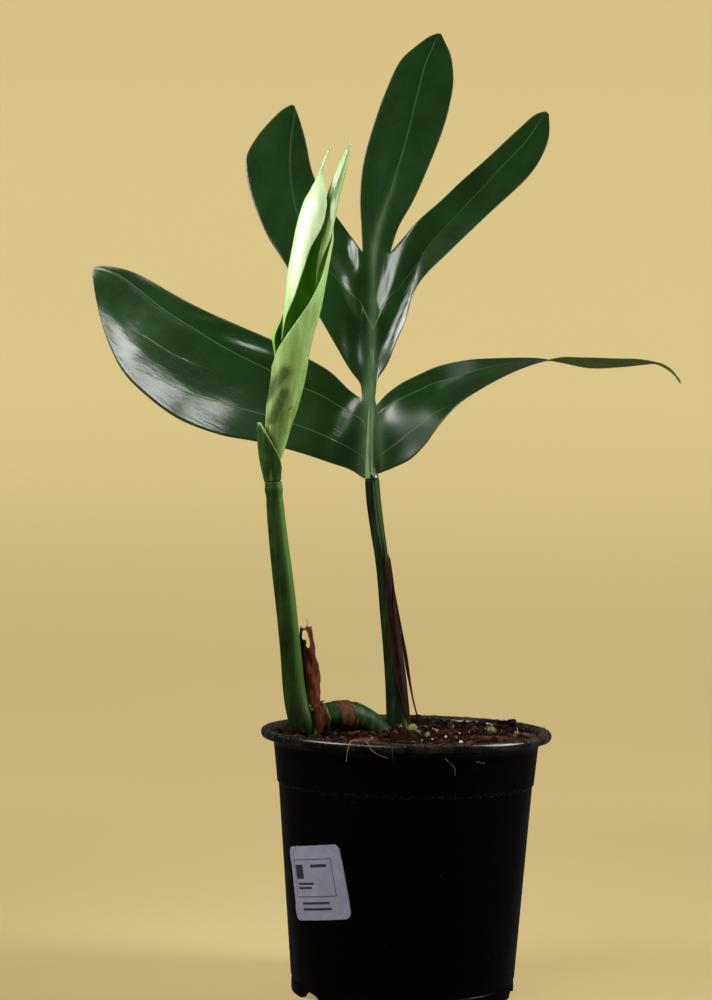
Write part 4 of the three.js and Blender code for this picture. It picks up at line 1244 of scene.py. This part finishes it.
def build_roots(draw):
    """Loose rootlets that hang over the rim and stand at its right end."""
    shape = Shape()
    for radius, tone, path in RIM_ROOTS:
        add_thread(shape, path, radius, 6, 24, tone, 0.4)
    for _ in range(END_ROOT_COUNT):
        start = polar(80, math.radians(draw.uniform(-32, 14)), POT_HEIGHT - 0.5)
        heading = np.array([draw.uniform(-0.5, 0.6), draw.uniform(-0.6, 0.3), draw.uniform(0.0, 0.9)])
        length = draw.uniform(3, 9)
        path = [start + heading * length * s + (0, 0, -1.8 * s * s) for s in (0, 0.35, 0.7, 1)]
        add_thread(shape, path, draw.uniform(0.07, 0.15), 4, 9, draw.uniform(0.2, 0.9), 0.6)
    for _ in range(RIM_HAIR_COUNT):
        turn = draw.uniform(0, 2 * math.pi)
        reach = draw.uniform(81, 84)
        swing = draw.uniform(2, 6) / reach
        top = POT_HEIGHT + 0.1
        path = [polar(reach, turn + s * swing, top + 0.3 * math.sin(3 * s)) for s in (0, 0.5, 1)]
        add_thread(shape, path, draw.uniform(0.08, 0.16), 4, 6, draw.uniform(0.1, 0.9), 0.4)
    shape.piece("loose_rootlets", FIBRE, "soil")


# Stems
def ridges(t, degrees, count, depth):
    return depth * np.cos(np.radians(degrees) * count + 2 * np.sin(5 * t))


def around(degrees, centre, spread):
    """1 at an angle round the stem, falling away to both sides."""
    gap = (degrees - centre + 180) % 360 - 180
    return bell(gap / spread)


def petiole(stations, end, relief, mark):
    """A petiole's stem and its joint with the leaf."""
    shape = Shape()
    shape.add_limb(Stem(stations), *STEM_NET, relief, mark=mark)
    shape.add_limb(Stem(end), *STEM_END_NET)
    return shape


def build_new_petiole():
    def relief(t, degrees):
        ring = 0.35 * bell((t - 0.985) / 0.006) - 0.25 * bell((t - 0.967) / 0.007)
        turn = np.radians(degrees)
        dents = 0.12 * np.sin(9 * t + turn) + 0.1 * np.sin(23 * t - 2 * turn)
        return ridges(t, degrees, 14, 0.035) + ring + dents * (1 - t)

    def mark(t, degrees):
        # Painted light down the petiole's lit right side and along its lit left edge
        lit_right_side = around(degrees, 72, 42) * lerp(0.35, 0.85, smoothstep(t, 0.45, 0.75))
        lit_left_edge = 0.6 * around(degrees, -88, 14) * smoothstep(t, 0.4, 0.6)
        return np.clip(lit_right_side + lit_left_edge, 0, 1)

    shape = petiole(NEW_PETIOLE_STATIONS, NEW_PETIOLE_END, relief, mark)
    bud, faces = ball(3)
    shape.add(bud * (1.5, 1.2, 1.1) + BUD_PLACE, faces, mark=0.95)
    shape.piece("new_petiole_stem", NEW_STEM, "stem_green", "new_petiole")


def build_mature_petiole():
    def relief(t, degrees):
        groove = -0.7 * around(degrees, 18, 15) * smoothstep(t, 0.62, 0.8)
        shoulder = 0.4 * (around(degrees, 48, 14) + around(degrees, -10, 14)) * smoothstep(t, 0.6, 0.85)
        return ridges(t, degrees, 12, 0.04) + groove + shoulder

    def mark(t, degrees):
        # Painted light in a lit strip beside the groove near the top; also a paler patch low at the front
        # right
        lit_upper_strip = 0.85 * around(degrees, 34, 16) * smoothstep(t, 0.68, 0.85)
        lower = 0.5 * around(degrees, 55, 16) * smoothstep(t, 0.34, 0.1)
        return np.clip(lit_upper_strip + lower, 0, 1)

    shape = petiole(MATURE_PETIOLE_STATIONS, MATURE_PETIOLE_END, relief, mark)
    shape.piece("mature_petiole_stem", OLD_STEM, "stem_green", "mature_petiole")


def rhizome_rings(t, degrees):
    """The slanted scars of old leaves round the rhizome."""
    slanted = t - BAND_SLANT * np.sin(np.radians(degrees))
    return sum(bell((slanted - ring) / 0.012) for ring in RHIZOME_RINGS)


def build_rhizome():
    def relief(t, degrees):
        swells = 0.16 * np.sin(17 * t + 2 * np.radians(degrees)) + 0.1 * np.sin(31 * t)
        return 0.15 * rhizome_rings(t, degrees) + swells

    def mark(t, degrees):
        return np.clip(rhizome_rings(t, degrees), 0, 1)

    shape = Shape()
    shape.add_limb(Stem(RHIZOME_STATIONS), 200, 64, relief, mark=mark)
    shape.piece("rhizome_stem", RHIZOME_SKIN, "stem_green", "rhizome")


def dry_ring(rows, columns, edge, form):
    """A plate round the rhizome; form(share, turn) gives its place along it, stand-off and paleness."""
    stem = Stem(RHIZOME_STATIONS)
    share, degrees = tube_net(rows, columns)
    t, off, pale = form(share, np.radians(-degrees))
    points = stem.point(t, -degrees, stem.value(t, 3) + off)
    shape = Shape()
    shape.add_plate(points, grid_faces(rows, columns, closed=True), DRY_THICKNESS, edge=edge, rim=pale)
    return shape


def build_band():
    """The dry ring round the rhizome, close on its skin, with a frayed pale edge."""

    def form(share, turn):
        fray = 0.012 * np.sin(5 * turn) + 0.008 * np.sin(11 * turn + 1) + 0.004 * np.sin(23 * turn)
        t = lerp(*BAND_SPAN, share) + BAND_SLANT * np.sin(turn) + fray * (share - 0.35)
        wrinkles = 0.14 * np.sin(14 * share + 3 * np.sin(turn)) + 0.1 * np.sin(9 * turn + 6 * share)
        lip = 0.5 * smoothstep(share, 0.9, 1.0)
        pale = smoothstep(share, 0.93, 1.0) * (0.5 + 0.5 * np.sin(7 * turn))
        return t, 0.5 + wrinkles * 0.6 + lip, pale

    dry_ring(36, 96, 0.5, form).piece("rhizome_dry_ring", DRY_BAND, "dry_sheath", "rhizome_dry_band")


def without(faces, points_gone):
    """The faces that touch none of the points gone."""
    return faces[~np.ravel(points_gone)[faces].any(axis=1)]


def build_cataphyll():
    stand = Stem(CATAPHYLL_STATIONS)
    rows, columns = 150, 46
    t, share = net(rows, columns)
    degrees = lerp(stand.value(t, 5), stand.value(t, 4), share)
    turn = np.radians(degrees)
    crumple = 0.09 * np.sin(4 * turn + 16 * t) + 0.06 * np.sin(9 * turn - 25 * t) + 0.03 * np.sin(17 * turn)
    points = stand.point(t, degrees, stand.value(t, 3) * (1 + crumple))
    ragged_top = 0.995 - 0.012 * np.abs(np.sin(7 * share)) - 0.01 * np.abs(np.sin(17 * share + 1))
    holes = np.hypot((degrees + 14) / 34, (t - 0.925) / 0.03) < 1
    holes |= np.hypot((degrees - 12 - 130 * (t - 0.86)) / 12, (t - 0.86) / 0.045) < 1
    faces = without(grid_faces(rows, columns), (t > ragged_top) | holes)
    shape = Shape()
    shape.add_plate(points, faces, DRY_THICKNESS)
    add_thread(shape, CATAPHYLL_SPIKE, 0.22, 5, 10, 0.5, 0.6)
    shape.piece("dry_cataphyll_strip", DRY_BROWN, "dry_sheath", "dry_cataphyll")


def build_collar():
    """The torn base of the dry sheath, round the rhizome's left end."""

    def form(share, turn):
        torn = 0.012 * np.sin(3 * turn + 1) + 0.007 * np.sin(8 * turn) + 0.004 * np.sin(23 * turn + 2)
        t = lerp(COLLAR_SPAN[0], COLLAR_SPAN[1] + torn, share)
        flare = 1.3 * smoothstep(share, 0.5, 1.0) * (0.6 + 0.4 * np.sin(6 * turn + 2))
        off = 0.7 + flare + 0.12 * np.sin(13 * turn + 8 * share)
        return t, off, 0.5 * smoothstep(share, 0.82, 1.0)

    dry_ring(30, 120, 0.6, form).piece("dry_cataphyll_collar", DRY_COLLAR, "dry_sheath", "dry_cataphyll")


def build_dry_strip():
    stem = Stem(MATURE_PETIOLE_STATIONS)
    table = np.array(STRIP_STATIONS)
    rows, columns = 190, 30
    share, side = net(rows, columns)
    t = lerp(table[0, 0], table[-1, 0], share)
    start, end, stand_off = (np.interp(t, table[:, 0], table[:, k]) for k in (1, 2, 3))
    degrees = lerp(end, start, side)
    curl = 0.5 * stand_off * (1 - side)
    crumple = 0.12 * np.sin(9 * side + 13 * share) + 0.1 * np.sin(40 * share + 3 * side)
    points = stem.point(t, degrees, stem.value(t, 3) + 0.6 + curl + crumple * (0.4 + 0.6 * side))
    torn_low = 0.03 + 0.035 * np.abs(np.sin(8 * side + 0.5)) + 0.02 * np.abs(np.sin(19 * side))
    torn_high = 0.99 - 0.05 * np.abs(np.sin(5 * side + 1)) - 0.02 * np.abs(np.sin(13 * side))
    faces = without(grid_faces(rows, columns), (share < torn_low) | (share > torn_high))

    def flattened(t, degrees):
        return 0.75 * bell((t - 0.45) / 0.16) * np.abs(np.sin(np.radians(degrees)))

    shape = Shape()
    shape.add_plate(points, faces, DRY_THICKNESS)
    shape.add_limb(Stem(THREAD_STATIONS), 120, 10, flattened)
    shape.piece("dry_petiole_strip", DRY_DARK, "dry_sheath", "dry_petiole_sheath")


# Rolled leaf
def wound_points(stem, t, degrees, start, end, lip):
    inward = np.where(end < start, ROLL_PITCH * (degrees - end) / 360, 0)
    height = stem.axis.at(t)[..., 2]
    flare = lip * bell((height - LIP_HEIGHT) / LIP_SPREAD) * smoothstep(degrees, -170, -95)
    return stem.point(t, degrees, stem.value(t, 3) - ROLL_THICKNESS / 2 - inward + flare)


def line_gap(points, start, end):
    """Distance from a line in front view, positive on its left; start and end are x and z."""
    spots = points[..., (0, 2)]
    a, b = np.array(start, float), np.array(end, float)
    share = np.clip(((spots - a) @ (b - a)) / ((b - a) @ (b - a)), 0, 1)
    off = spots - a - share[..., None] * (b - a)
    side = np.sign((b - a)[0] * off[..., 1] - (b - a)[1] * off[..., 0])
    return side * np.linalg.norm(off, axis=-1)


def near_line(points, start, end, width):
    return bell(line_gap(points, start, end) / width)


def add_rolled(shape, stations, rows, columns, flank=False):
    """A sheet wound round a stem; the flank is the loose one in front, and faces inward."""
    stem = Stem(stations)
    t, share = net(rows, columns)
    start, end = stem.value(t, 4), stem.value(t, 5)
    degrees = lerp(start, end, share)
    points = wound_points(stem, t, degrees, start, end, 0 if flank else LIP_REACH)
    faces = grid_faces(rows, columns)
    z = points[..., 2]
    front = smoothstep(points[..., 1], -10, -16)
    # Painted shade: stripes darker down the front
    stripes = [strength * near_line(points, *line) for strength, *line in ROLL_STRIPES]
    values = {
        "height": (z - ROLL_FOOT) / (ROLL_TOP - ROLL_FOOT),
        "across": np.radians(degrees) * stem.value(t, 3),
        "shade": np.clip(front * np.max(stripes, axis=0), 0, 1),
        "scar": front * near_line(points, *ROLL_SCAR),
    }
    if flank:
        faces = faces[:, ::-1]
        # Painted highlight: the flank's colour whitened where its gloss falls
        tall = smoothstep(z, 392, 418) * smoothstep(z, 482, 460)
        values["sheen"] = 0.4 * smoothstep(degrees, -105, -45) * tall
        # Painted shade: the flank's left part darkened to mid green
        values["shy"] = 0.6 * smoothstep(degrees, -75, -125)
    else:
        # Painted glow: the lip brightened as if lit through the thin sheet
        values["bright"] = bell((z - LIP_HEIGHT) / 13) * smoothstep(degrees, -150, -100)
    shape.add_plate(points, faces, ROLL_THICKNESS, **values)


def build_rolled_leaf():
    tip = Stem(ROLL_TIP_STATIONS)

    def furrow(t, degrees):
        return -0.35 * around(degrees, -25, 16) * tip.value(t, 3) / 3

    def height(t, degrees):
        return 0.38 + 0.16 * t

    shape = Shape()
    add_rolled(shape, ROLL_STATIONS, 250, 150)
    add_rolled(shape, FLANK_STATIONS, 150, 56, flank=True)
    shape.add_limb(tip, 80, 40, furrow, height=height)
    shape.piece("rolled_leaf", NEW_LEAF, "leaf_new", "furled_leaf")


def build_cup():
    """The flared collar below the rolled leaf: oblique pale rim and one thin point."""
    stem = Stem(CUP_STATIONS)
    rows, columns = 70, 110
    bottom, top = CUP_STATIONS[0][2], CUP_STATIONS[-1][2]
    share, degrees = tube_net(rows, columns)
    degrees = degrees - 180
    t = share * (np.interp(degrees, *zip(*CUP_RIM)) - bottom) / (top - bottom)
    radius = stem.value(t, 3) + 0.12 * np.sin(np.radians(degrees) * 9) * share
    points = stem.point(t, degrees, radius)
    thickness = lerp(CUP_THICKNESS, CUP_RIM_THICKNESS, smoothstep(share, 0.75, 1.0))
    shape = Shape()
    mark = 0.7 * smoothstep(share, 0.94, 1.0)
    shape.add_plate(points, grid_faces(rows, columns, closed=True), thickness, mark=mark)
    spot = stem.point(CUP_POINT["share"], CUP_POINT["angle"], CUP_POINT["reach"])
    path = [spot + (0.15 * k * k, 0, CUP_POINT["length"] * (k - 1) / 2) for k in (0, 0.6, 1.2, 2)]
    add_thread(shape, path, 0.75, 10, 20, 0.5, 0.85)
    shape.piece("new_leaf_collar", CUP_SKIN, "stem_green", "new_leaf_sheath")


# Grown leaf
def leaf_depth(x, z):
    rise = np.maximum(z - LEAF_BASE_HEIGHT, 0)
    side = x - RACHIS_X
    crease = CREASE_SLOPE * (np.hypot(side, CREASE_ROUNDING) - CREASE_ROUNDING)
    return LEAF_DEPTH + LEAN_SLOPE * rise + LEAN_CURVE * rise**2 - crease + SIDE_CURVE * side**2


# Veins of a lobe, the main one first: strength, height where it leaves the rachis, and its path as shares
# along and across the lobe
LOWER_LEFT_VEINS = [
    (0.62, 322, [(0, 0.74), (0.1, 0.7), (0.2, 0.69), (0.32, 0.72), (0.46, 0.76), (0.6, 0.8), (0.84, 0.81),
                 (1, 0.87)]),
    (0.55, 307, [(0, 0.27), (0.15, 0.28), (0.43, 0.29), (0.58, 0.23), (0.65, 0.18), (0.73, 0.08)]),
    (0.42, None, [(0.5, 0.53), (0.62, 0.48), (0.7, 0.46), (0.78, 0.37)]),
]
UPPER_LEFT_VEINS = [
    (0.4, 390, [(0, 0.61), (0.1, 0.57), (0.25, 0.48), (0.44, 0.48), (0.59, 0.61), (0.76, 0.73), (1, 0.85)]),
]
TOP_VEINS = [
    (0.5, None, [(0, 0.42), (0.07, 0.46), (0.17, 0.52), (0.3, 0.55), (0.46, 0.54), (0.63, 0.49),
                 (0.78, 0.45), (1, 0.42)]),
]
UPPER_RIGHT_VEINS = [
    (0.5, 389, [(0, 0.35), (0.12, 0.43), (0.28, 0.5), (0.4, 0.52), (0.55, 0.47), (0.7, 0.38), (1, 0.33)]),
]
LOWER_RIGHT_VEINS = [
    (0.65, 331, [(0, 0.15), (0.12, 0.2), (0.2, 0.24), (0.3, 0.35), (0.43, 0.33), (0.6, 0.35), (1, 0.45)]),
    (0.65, 307, [(0, 0.75), (0.11, 0.67), (0.19, 0.7), (0.24, 0.78), (0.3, 0.9)]),
]
# Distances at which no vein and no margin shows, and the width of the strip along the rachis
FAR = 99
INSIDE = 8
CORE_WIDTH = 14

# Paler green along the rachis, groove of a main vein, swell of the halves beside it, waves of the edge
RIB_HALO = 0.5
RIB_HALO_WIDTH = 2.4
RIB_HALO_AT_BASE = 0.85
RIB_HALO_WIDTH_AT_BASE = 6
VEIN_GROOVE = 0.16
VEIN_GROOVE_WIDTH = 0.8
PILLOW_SHARE = 0.0042
MARGIN_WAVE = 34

# Gentle folds of a lobe: from and to along it, from and to across it, and the slope that they add
LOWER_LEFT_FOLDS = [
    (0.14, 0.97, 0.3, 0.74, -0.08),
    (0.06, 0.32, 0.02, 0.3, -0.12),
]
UPPER_LEFT_FOLDS = [
    (0.1, 0.98, -0.1, 0.5, 0.07),
    (0.1, 0.98, 0.5, 1.1, 0.13),
]
TOP_FOLDS = [
    (0.02, 0.98, 0.4, 1.1, 0.12),
]
NO_FOLDS = []

# Shallow dents of the blade: middle in x and z, half length, half width, heading from +X towards +Z in
# degrees, and the slopes along x and z that they add at their middle
DENTS = [
    (-38, 411.5, 22, 6, -58, -0.34, 0.0),
    (-32.5, 429, 9, 4.5, -54, -0.2, 0.04),
    (-32, 374, 19, 6, -73, -0.3, 0.08),
    (-16.5, 411, 29, 8, -103, -0.19, 0.05),
    (-12.5, 381, 24, 7, -107, -0.22, 0.09),
    (-37, 341, 17, 8, -131, -0.23, 0.2),
    (-39, 328, 16, 7.5, -137, -0.22, 0.15),
    (-13, 337, 18, 8, -113, -0.03, 0.07),
    (-122.6, 394.5, 10, 4, -22, 0.03, 0.26),
    (-96, 377.5, 22, 5, -27, 0.01, 0.3),
    (-187, 408, 24, 14, -70, 0.0, -0.14),
    (6, 324, 22, 14, 40, 0.06, -0.24),
]

# A duller patch of the twisted lobe: middle in x and z, and its spread
DULL_SPOT = (6, 326, 13)


def share_across(path, along):
    knots, shares = np.array(path).T
    return np.interp(along, knots, shares)


def window(value, start, end, soft):
    return smoothstep(value, start - soft, start + soft) * smoothstep(value, end + soft, end - soft)


class Lobe:
    def __init__(self, edge_a, edge_b, veins, folds, rows, channel, twisted=False, rib=0.0):
        edges = [edge if twisted else [(x, 0, z) for x, z in edge] for edge in (edge_a, edge_b)]
        self.a, self.b = (Curve(edge) for edge in edges)
        self.veins, self.folds, self.rows = veins, folds, rows
        self.channel, self.twisted, self.rib = channel, twisted, rib
        self.q = np.linspace(0, 1, LOBE_COLUMNS + 1)

    def across(self, along):
        """Shares across the lobe, with the main vein on the middle column."""
        middle = share_across(self.veins[0][2], along)
        return np.where(self.q < 0.5, 2 * self.q * middle, middle + (2 * self.q - 1) * (1 - middle))

    def base(self):
        spots = lerp(self.a.at(0), self.b.at(0), self.across(0.0)[:, None])
        spots[:, 1] = leaf_depth(spots[:, 0], spots[:, 2])
        return spots

    def sheet(self, base):
        along = (1 - (1 - np.linspace(0, 1, self.rows + 1)) ** 1.35)[:, None]
        across = self.across(along)
        a, b = self.a.at_length(along), self.b.at_length(along)
        points = lerp(a, b, across[..., None])
        gap = base - lerp(self.a.at(0), self.b.at(0), across[0][:, None])
        if not self.twisted:
            gap[:, 1] = 0
        points = points + gap * ((1 - along) ** 3)[..., None]
        if not self.twisted:
            points[..., 1] = leaf_depth(points[..., 0], points[..., 2])
        width = np.linalg.norm(b - a, axis=-1)
        points[..., 1] += self.relief(along, across, width)
        points[0] = base
        values = {
            "across": (across - share_across(self.veins[0][2], along)) * width,
            "margin": np.minimum(across, 1 - across) * width + INSIDE * (along < 0.01),
            "lined": smoothstep(along, 0.02, 0.12),
            "length": along * self.a.lengths[-1],
        }
        near_vein = bell(values["across"] / RIB_HALO_WIDTH)
        values["rib"] = np.maximum(self.rib * near_vein * smoothstep(along, 0.4, 0.0), rib_halo(points))
        for name, vein in zip_longest(VEIN_NAMES, self.veins):
            gap, shown = self.vein_line(vein, along, across, width)
            values[name + "_gap"] = gap
            values[name + "_shown"] = shown
        return points, grid_faces(self.rows, LOBE_COLUMNS), values

    def relief(self, along, across, width):
        fade = smoothstep(along, 0, 0.3)
        trough = -self.channel * fade * (1 - along**3) * ((2 * across - 1) ** 2 - 0.5)
        middle = share_across(self.veins[0][2], along)
        half = np.abs(2 * self.q - 1)
        half_width = np.where(self.q < 0.5, middle, 1 - middle) * width
        pillow = PILLOW_SHARE * self.channel * half_width * np.sin(math.pi * half) * fade * (1 - along**4)
        waves = np.sin(2 * math.pi * along * self.a.lengths[-1] / MARGIN_WAVE + 4 * (self.q > 0.5))
        waves = 0.25 * waves * half**3 * fade * (1 - along**6)
        slope = np.zeros_like(across)
        for along_from, along_to, across_from, across_to, amount in self.folds:
            lengthwise = window(along, along_from, along_to, 0.07)
            slope += amount * lengthwise * window(across, across_from, across_to, 0.05)
        steps = (slope[:, 1:] + slope[:, :-1]) / 2 * np.diff(across, axis=1) * width
        bent = np.concatenate([np.zeros((len(along), 1)), np.cumsum(steps, axis=1)], axis=1)
        bent -= bent[:, LOBE_COLUMNS // 2, None]
        groove = bell((across - middle) * width / VEIN_GROOVE_WIDTH)
        return trough - pillow + waves + bent + VEIN_GROOVE * groove * fade

    def vein_line(self, vein, along, across, width):
        """Distance from a vein, and how strongly it shows."""
        if vein is None:
            return FAR, 0.0
        strength, _, path = vein
        gap = (across - share_across(path, along)) * width
        shown = strength * smoothstep(along, path[-1][0] + 0.02, path[-1][0] - 0.1)
        if path[0][0] > 0:
            shown = shown * smoothstep(along, path[0][0] - 0.02, path[0][0] + 0.08)
        return gap, shown


def rib_halo(points):
    """How much of the rachis's paler green a point of the blade has."""
    beside, height = points[..., 0] - RACHIS_X, points[..., 2]
    width = lerp(RIB_HALO_WIDTH_AT_BASE, RIB_HALO_WIDTH, smoothstep(height, 320, 400))
    strength = lerp(RIB_HALO_AT_BASE, RIB_HALO, smoothstep(height, 330, 390))
    return strength * smoothstep(height, 452, 438) * bell(beside / width)


def core_sheet(lobes):
    """The strip of blade along the rachis, between the bases of the side lobes."""
    lower_left, upper_left, top, upper_right, lower_right = lobes
    left = np.concatenate([lower_left.base(), upper_left.base()])
    right = np.concatenate([lower_right.base()[::-1], upper_right.base()[::-1]])
    share = top.across(0.0)
    points = lerp(left[:, None], right[:, None], share[:, None])
    inner = points[:, 1:-1]
    inner[..., 1] = leaf_depth(inner[..., 0], inner[..., 2])
    main = np.full(points.shape[:2], FAR)
    second = np.where(points[..., 0] < RACHIS_X, FAR, -FAR)
    for lobe in lobes:
        for order, (_, root, path) in enumerate(lobe.veins):
            if root is None or path[0][0] > 0:
                continue
            start = lerp(lobe.a.at(0), lobe.b.at(0), path[0][1])[[0, 2]]
            gap = line_gap(points, start, (RACHIS_X, root))
            if order == 0:
                main = np.minimum(main, np.abs(gap))
            else:
                same_side = (points[..., 0] < RACHIS_X) == (start[0] < RACHIS_X)
                second = np.where(same_side, gap, second)
    inside = smoothstep(share, 0, 0.2) * smoothstep(share, 1, 0.8)
    values = {
        "across": (share - share_across(top.veins[0][2], 0)) * CORE_WIDTH,
        "margin": INSIDE,
        "lined": inside * smoothstep(np.arange(len(left))[:, None], len(left) - 1, len(left) - 9),
        "length": points[..., 2],
        "rib": rib_halo(points),
        "main_gap": 0.7 * main,
        "main_shown": 1,
        "second_gap": second,
        "second_shown": 0.85 * smoothstep(points[..., 2], 345, 330),
    }
    return points, grid_faces(len(left) - 1, LOBE_COLUMNS), values


def joined(sheets):
    """The sheets as one, with the points that they share merged."""
    points = np.concatenate([np.reshape(sheet[0], (-1, 3)) for sheet in sheets])
    starts = np.cumsum([0] + [sheet[0].size // 3 for sheet in sheets[:-1]])
    faces = np.concatenate([sheet[1] + start for sheet, start in zip(sheets, starts)])
    _, first, same = np.unique(np.round(points, 3), axis=0, return_index=True, return_inverse=True)
    values = {}
    for key in sorted({key for sheet in sheets for key in sheet[2]}):
        parts = [np.broadcast_to(sheet[2].get(key, 0), sheet[0].shape[:2]).ravel() for sheet in sheets]
        values[key] = np.concatenate(parts)[first]
    faces = same.ravel()[faces]
    sound = (faces[:, 0] != faces[:, 2]) & (faces[:, 1] != faces[:, 3])
    return points[first], faces[sound], values


def dent(x, z):
    """How far the dents push the blade back."""
    push = np.zeros_like(x)
    for middle_x, middle_z, half_length, half_width, heading, slope_x, slope_z in DENTS:
        turn = math.radians(heading)
        off_x, off_z = x - middle_x, z - middle_z
        far_along = (off_x * math.cos(turn) + off_z * math.sin(turn)) / half_length
        far_across = (off_z * math.cos(turn) - off_x * math.sin(turn)) / half_width
        push += (slope_x * off_x + slope_z * off_z) * bell(np.hypot(far_along, far_across))
    return push


def build_grown_leaf():
    lobes = [
        Lobe(LOWER_LEFT_BELOW, LOWER_LEFT_ABOVE, LOWER_LEFT_VEINS, LOWER_LEFT_FOLDS, 130, 6),
        Lobe(UPPER_LEFT_BELOW, UPPER_LEFT_ABOVE, UPPER_LEFT_VEINS, UPPER_LEFT_FOLDS, 100, 1),
        Lobe(TOP_LEFT_EDGE, TOP_RIGHT_EDGE, TOP_VEINS, TOP_FOLDS, 90, 1, rib=RIB_HALO),
        Lobe(UPPER_RIGHT_ABOVE, UPPER_RIGHT_BELOW, UPPER_RIGHT_VEINS, NO_FOLDS, 90, 4),
        Lobe(LOWER_RIGHT_FAR, LOWER_RIGHT_NEAR, LOWER_RIGHT_VEINS, NO_FOLDS, 120, 3, twisted=True),
    ]
    core = core_sheet(lobes)
    bases = [lobes[0].base(), lobes[1].base(), core[0][-1], lobes[3].base(), lobes[4].base()]
    sheets = [core] + [lobe.sheet(base) for lobe, base in zip(lobes, bases)]
    points, faces, values = joined(sheets)
    points[:, 1] += 0.25 * roughly(points, 26, 2, 3)
    points[:, 1] += dent(points[:, 0], points[:, 2])
    dull_x, dull_z, spread = DULL_SPOT
    values["dull"] = bell(np.hypot(points[:, 0] - dull_x, points[:, 2] - dull_z) / spread)
    edge = smoothstep(values["margin"], 0, LEAF_EDGE_WIDTH)
    thickness = lerp(LEAF_EDGE_THICKNESS, LEAF_THICKNESS, edge)
    shape = Shape()
    shape.add_plate(points, faces[:, ::-1], thickness, **values)
    midrib = Stem(MIDRIB_STATIONS)

    def groove(t, degrees):
        return -0.16 * midrib.value(t, 3) * around(degrees, 0, 13)

    def rib(t, degrees):
        return lerp(1.0, 0.65, smoothstep(midrib.axis.at(t)[..., 2], 350, 430))

    shape.add_limb(midrib, 200, 48, groove, rib=rib, margin=INSIDE, main_gap=FAR)
    shape.piece("grown_leaf_blade", LEAF, "leaf_dark", "mature_leaf")


# Stage, light and camera
def build_stage():
    """A plain sand-coloured floor that sweeps up into the backdrop and glows a little."""
    turn = np.linspace(0, math.pi / 2, 25)
    arc = [(SWEEP_START + SWEEP_RADIUS * math.sin(a), SWEEP_RADIUS * (1 - math.cos(a))) for a in turn]
    profile = [(FLOOR_FRONT, 0)] + arc + [(SWEEP_START + SWEEP_RADIUS, BACKDROP_TOP)]
    points = [(x, y, z) for y, z in profile for x in (-FLOOR_HALF_WIDTH, FLOOR_HALF_WIDTH)]
    faces = [(2 * k, 2 * k + 1, 2 * k + 3, 2 * k + 2) for k in range(len(profile) - 1)]
    mesh = mesh_of("floor", points, faces, unit=1)
    mesh.shade_smooth()
    f = Finish("studio_floor", Roughness=0.9, Specular_IOR_Level=0.05, Emission_Color=srgb("cdb982"))
    coords = f.node("TexCoord").outputs["Object"]
    depth, height = (f.part(axis, coords) for axis in "YZ")
    by_depth = f.times(f.fade(depth, -0.14, -0.02, 0.4, 1.0), f.fade(depth, 0.1, 0.9, 0.7, 1.0))
    by_height = f.times(f.fade(height, 0.0, 0.5, 0.82, 1.08), f.fade(height, 0.95, 1.6, 1.0, 0.92))
    glow = f.times(by_depth, by_height)
    f.tree.links.new(glow, f.shader.inputs["Emission Strength"])
    mesh.materials.append(f.done(f.mix(f.fade(f.noise(900, 2), 0.3, 0.7), "93865f", "998c64")))
    floor = in_scene("floor", mesh)
    floor.visible_glossy = False


def add_light(name, target, azimuth, elevation, distance, span, radiance, colour=(1, 1, 1), spread=180):
    """A soft light, placed as its target sees it; span is its width and height, and all angles are degrees.

    Azimuth 0 is the front and 90 the right.
    """
    az, el = math.radians(azimuth), math.radians(elevation)
    out = Vector((math.sin(az) * math.cos(el), -math.cos(az) * math.cos(el), math.sin(el)))
    light = bpy.data.lights.new(name, "AREA")
    light.shape = "RECTANGLE"
    light.size, light.size_y = (2 * distance * math.tan(math.radians(angle / 2)) for angle in span)
    light.energy = radiance * math.pi * light.size * light.size_y
    light.color = colour
    light.spread = math.radians(spread)
    lamp = in_scene(name, light)
    lamp.location = Vector(target) + out * distance
    lamp.rotation_euler = out.to_track_quat("Z", "Y").to_euler()


def build_light():
    blade = (-0.06, 0.03, 0.37)
    roll = (-0.07, -0.015, 0.42)
    add_light("front_left_strip", blade, -27, 27.5, 1.3, (26, 10), 1.3, (1, 0.99, 0.97), 50)
    add_light("left_softbox", roll, -72, 27, 0.6, (42, 30), 3.6, (1, 0.99, 0.97), 80)
    add_light("right_softbox", (0, 0, 0.3), 85, 25, 0.9, (24, 44), 2.8, (1, 0.98, 0.93), 70)
    add_light("top", blade, 160, 70, 1.5, (50, 30), 0.6)
    world = bpy.data.worlds.new("studio")
    world.use_nodes = True
    inputs = world.node_tree.nodes["Background"].inputs
    inputs["Color"].default_value = (0.95, 0.9, 0.8, 1)
    inputs["Strength"].default_value = 0.05
    bpy.context.scene.world = world


def build_camera():
    data = bpy.data.cameras.new("camera")
    data.sensor_width = 36
    data.lens = CAMERA_LENS
    data.clip_end = 30
    camera = in_scene("camera", data)
    camera.location = Vector(CAMERA_PLACE) * MM
    camera.rotation_euler = (math.radians(90), math.radians(-CAMERA_ROLL), 0)
    bpy.context.scene.camera = camera
    bpy.context.scene.view_settings.view_transform = "Standard"


build_camera()
build_stage()
build_light()
build_pot()
build_label()
DRAW = np.random.default_rng(SEED)
build_soil(DRAW)
build_bark(DRAW)
build_perlite(DRAW)
build_moss(DRAW)
build_fibres(DRAW)
build_roots(DRAW)
build_new_petiole()
build_mature_petiole()
build_rhizome()
build_band()
build_cataphyll()
build_collar()
build_dry_strip()
build_rolled_leaf()
build_cup()
build_grown_leaf()

bpy.context.view_layer.update()
